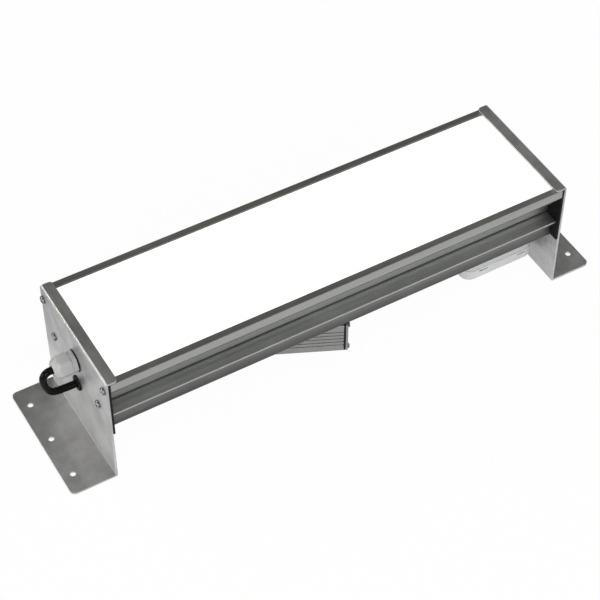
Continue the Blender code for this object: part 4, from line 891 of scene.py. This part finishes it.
def paper():
    """Pale paper that the camera sees as white, less the shadow. In metal and gloss it shows a
    painted pool of light near the fixture that goes darker farther out, and a painted shadow
    right under it, as on a lit table."""
    coat, look = material("studio_paper")
    camera_ray, glossy_ray, through_ray = [
        look.add("ShaderNodeLightPath", out=f"Is {kind} Ray")
        for kind in ("Camera", "Glossy", "Transmission")
    ]
    here = look.add("ShaderNodeVectorMath", {}, {0: look.place((0.30, 1, 1)), 1: (0, 0.06, 0)})
    far = look.add("ShaderNodeVectorMath", {"operation": 'LENGTH'}, {0: here}, 1)
    # Painted pool of light near the fixture and painted shadow under it, seen in metal and gloss
    under = look.band(0, 0.0, 0.27, 0.02) * look.band(1, 0.0, 0.05, 0.03)
    lit = look.ramp(far, 0.15, 0.38, 0.97, 0.10) * (1 - under * 0.22)
    glossy = glossy_ray + through_ray
    share = camera_ray * 0.985 + glossy * lit
    fibre = look.noise(look.place(), 300.0, 2)
    plain = look.add("ShaderNodeBsdfDiffuse", {}, {
        "Color": look.colour(fibre, (0.80, 0.80, 0.80), (0.82, 0.82, 0.82)),
    })
    glow = look.add("ShaderNodeEmission", {}, {"Color": (1, 1, 1, 1), "Strength": 1.0})
    unlit = glossy.maths('MINIMUM', glossy * 0.85, 1.0)
    dark = look.add("ShaderNodeMixShader", {}, {0: unlit, 1: plain})
    share = share.maths('MINIMUM', share, 0.97)
    mixed = look.add("ShaderNodeMixShader", {}, {0: share, 1: dark, 2: glow})
    look.add("ShaderNodeOutputMaterial", {}, {0: mixed})
    return coat


def floor():
    """A wide sheet of paper, just under the feet."""
    reach, drop = 8.0, 0.0004
    corners = [
        (-reach, -reach, -drop), (reach, -reach, -drop), (reach, reach, -drop),
        (-reach, reach, -drop),
    ]
    mesh = bpy.data.meshes.new("floor")
    mesh.from_pydata(corners, [], [[0, 1, 2, 3]])
    mesh.materials.append(paper())
    item = bpy.data.objects.new("floor", mesh)
    bpy.context.scene.collection.objects.link(item)


def surroundings():
    """A dome that is pale low down and dark overhead, with a dim patch in front and a bright one
    to the right. The camera sees it as white."""
    world = bpy.data.worlds.new("studio")
    bpy.context.scene.world = world
    look = Look(world)
    where = look.add("ShaderNodeTexCoord", out="Generated")
    up = look.add("ShaderNodeSeparateXYZ", {}, {0: where}, 2)
    dome = look.add("ShaderNodeValToRGB", {"stops": [
        (0.0, (0.42, 0.42, 0.42)), (0.12, (0.32, 0.32, 0.32)), (0.30, (0.10, 0.10, 0.088)),
        (0.50, (0.034, 0.034, 0.019)), (0.85, (0.038, 0.038, 0.024)), (1.0, (0.30, 0.30, 0.29)),
    ]}, {0: up})
    front = look.ramp(look.dot(where, (0.25, -0.96, 0.0)), 0.35, 0.85, 0.0, 0.8)
    dome = look.colour(front, dome, (0.10, 0.10, 0.095))
    right = look.ramp(look.dot(where, (0.88, -0.42, 0.22)), 0.12, 0.90, 0.0, 0.45)
    dome = look.colour(right, dome, (0.85, 0.85, 0.84))
    camera_ray = look.add("ShaderNodeLightPath", out="Is Camera Ray")
    dome = look.colour(camera_ray, dome, (1, 1, 1))
    light = look.add("ShaderNodeBackground", {}, {0: dome, 1: 1.0})
    look.add("ShaderNodeOutputWorld", {}, {0: light})


def lamps():
    """Five soft round lamps, each with its place, size and power, that face the fixture's middle:
    the columns of a lamp's matrix are its right, up and back directions and its place."""
    rows = (
        ("main", (0.75, -1.45, 2.0), 2.2, 27.0), ("key", (-1.6, -1.9, 1.15), 1.4, 37.0),
        ("right", (2.4, -0.6, 0.9), 1.4, 14.0), ("left", (-2.6, 0.7, 0.55), 1.3, 26.0),
        ("far_left", (-1.05, 1.5, 1.65), 1.1, 15.0),
    )
    target = (0, 0, 0.08)
    for name, place, size, power in rows:
        lamp = bpy.data.lights.new(name, 'AREA')
        lamp.shape, lamp.size, lamp.energy = 'DISK', size, power
        item = bpy.data.objects.new(name, lamp)
        back = np.array(place, float) - target
        back /= np.linalg.norm(back)
        right = np.cross((0, 0, 1.0), back)
        right /= np.linalg.norm(right)
        matrix = np.eye(4)
        matrix[:3] = np.column_stack([right, np.cross(back, right), back, place])
        item.matrix_world = Matrix(matrix.tolist())
        bpy.context.scene.collection.objects.link(item)


def camera():
    """Camera at the photograph's angle. The columns of its matrix are its right, up and back
    directions and its place."""
    lens = bpy.data.cameras.new("camera")
    lens.sensor_width = 36
    lens.lens = 112.1604
    item = bpy.data.objects.new("camera", lens)
    matrix = np.eye(4)
    matrix[:3] = np.column_stack([
        (0.86511134, -0.50157402, 0.00242445), (0.37142964, 0.64387263, 0.66893053),
        (-0.33707921, -0.57779888, 0.74332097), (-0.6809013, -1.1476656, 1.5282375),
    ])
    item.matrix_world = Matrix(matrix.tolist())
    bpy.context.scene.collection.objects.link(item)
    bpy.context.scene.camera = item


floor()
surroundings()
lamps()
camera()
bpy.context.scene.view_settings.view_transform = 'Standard'
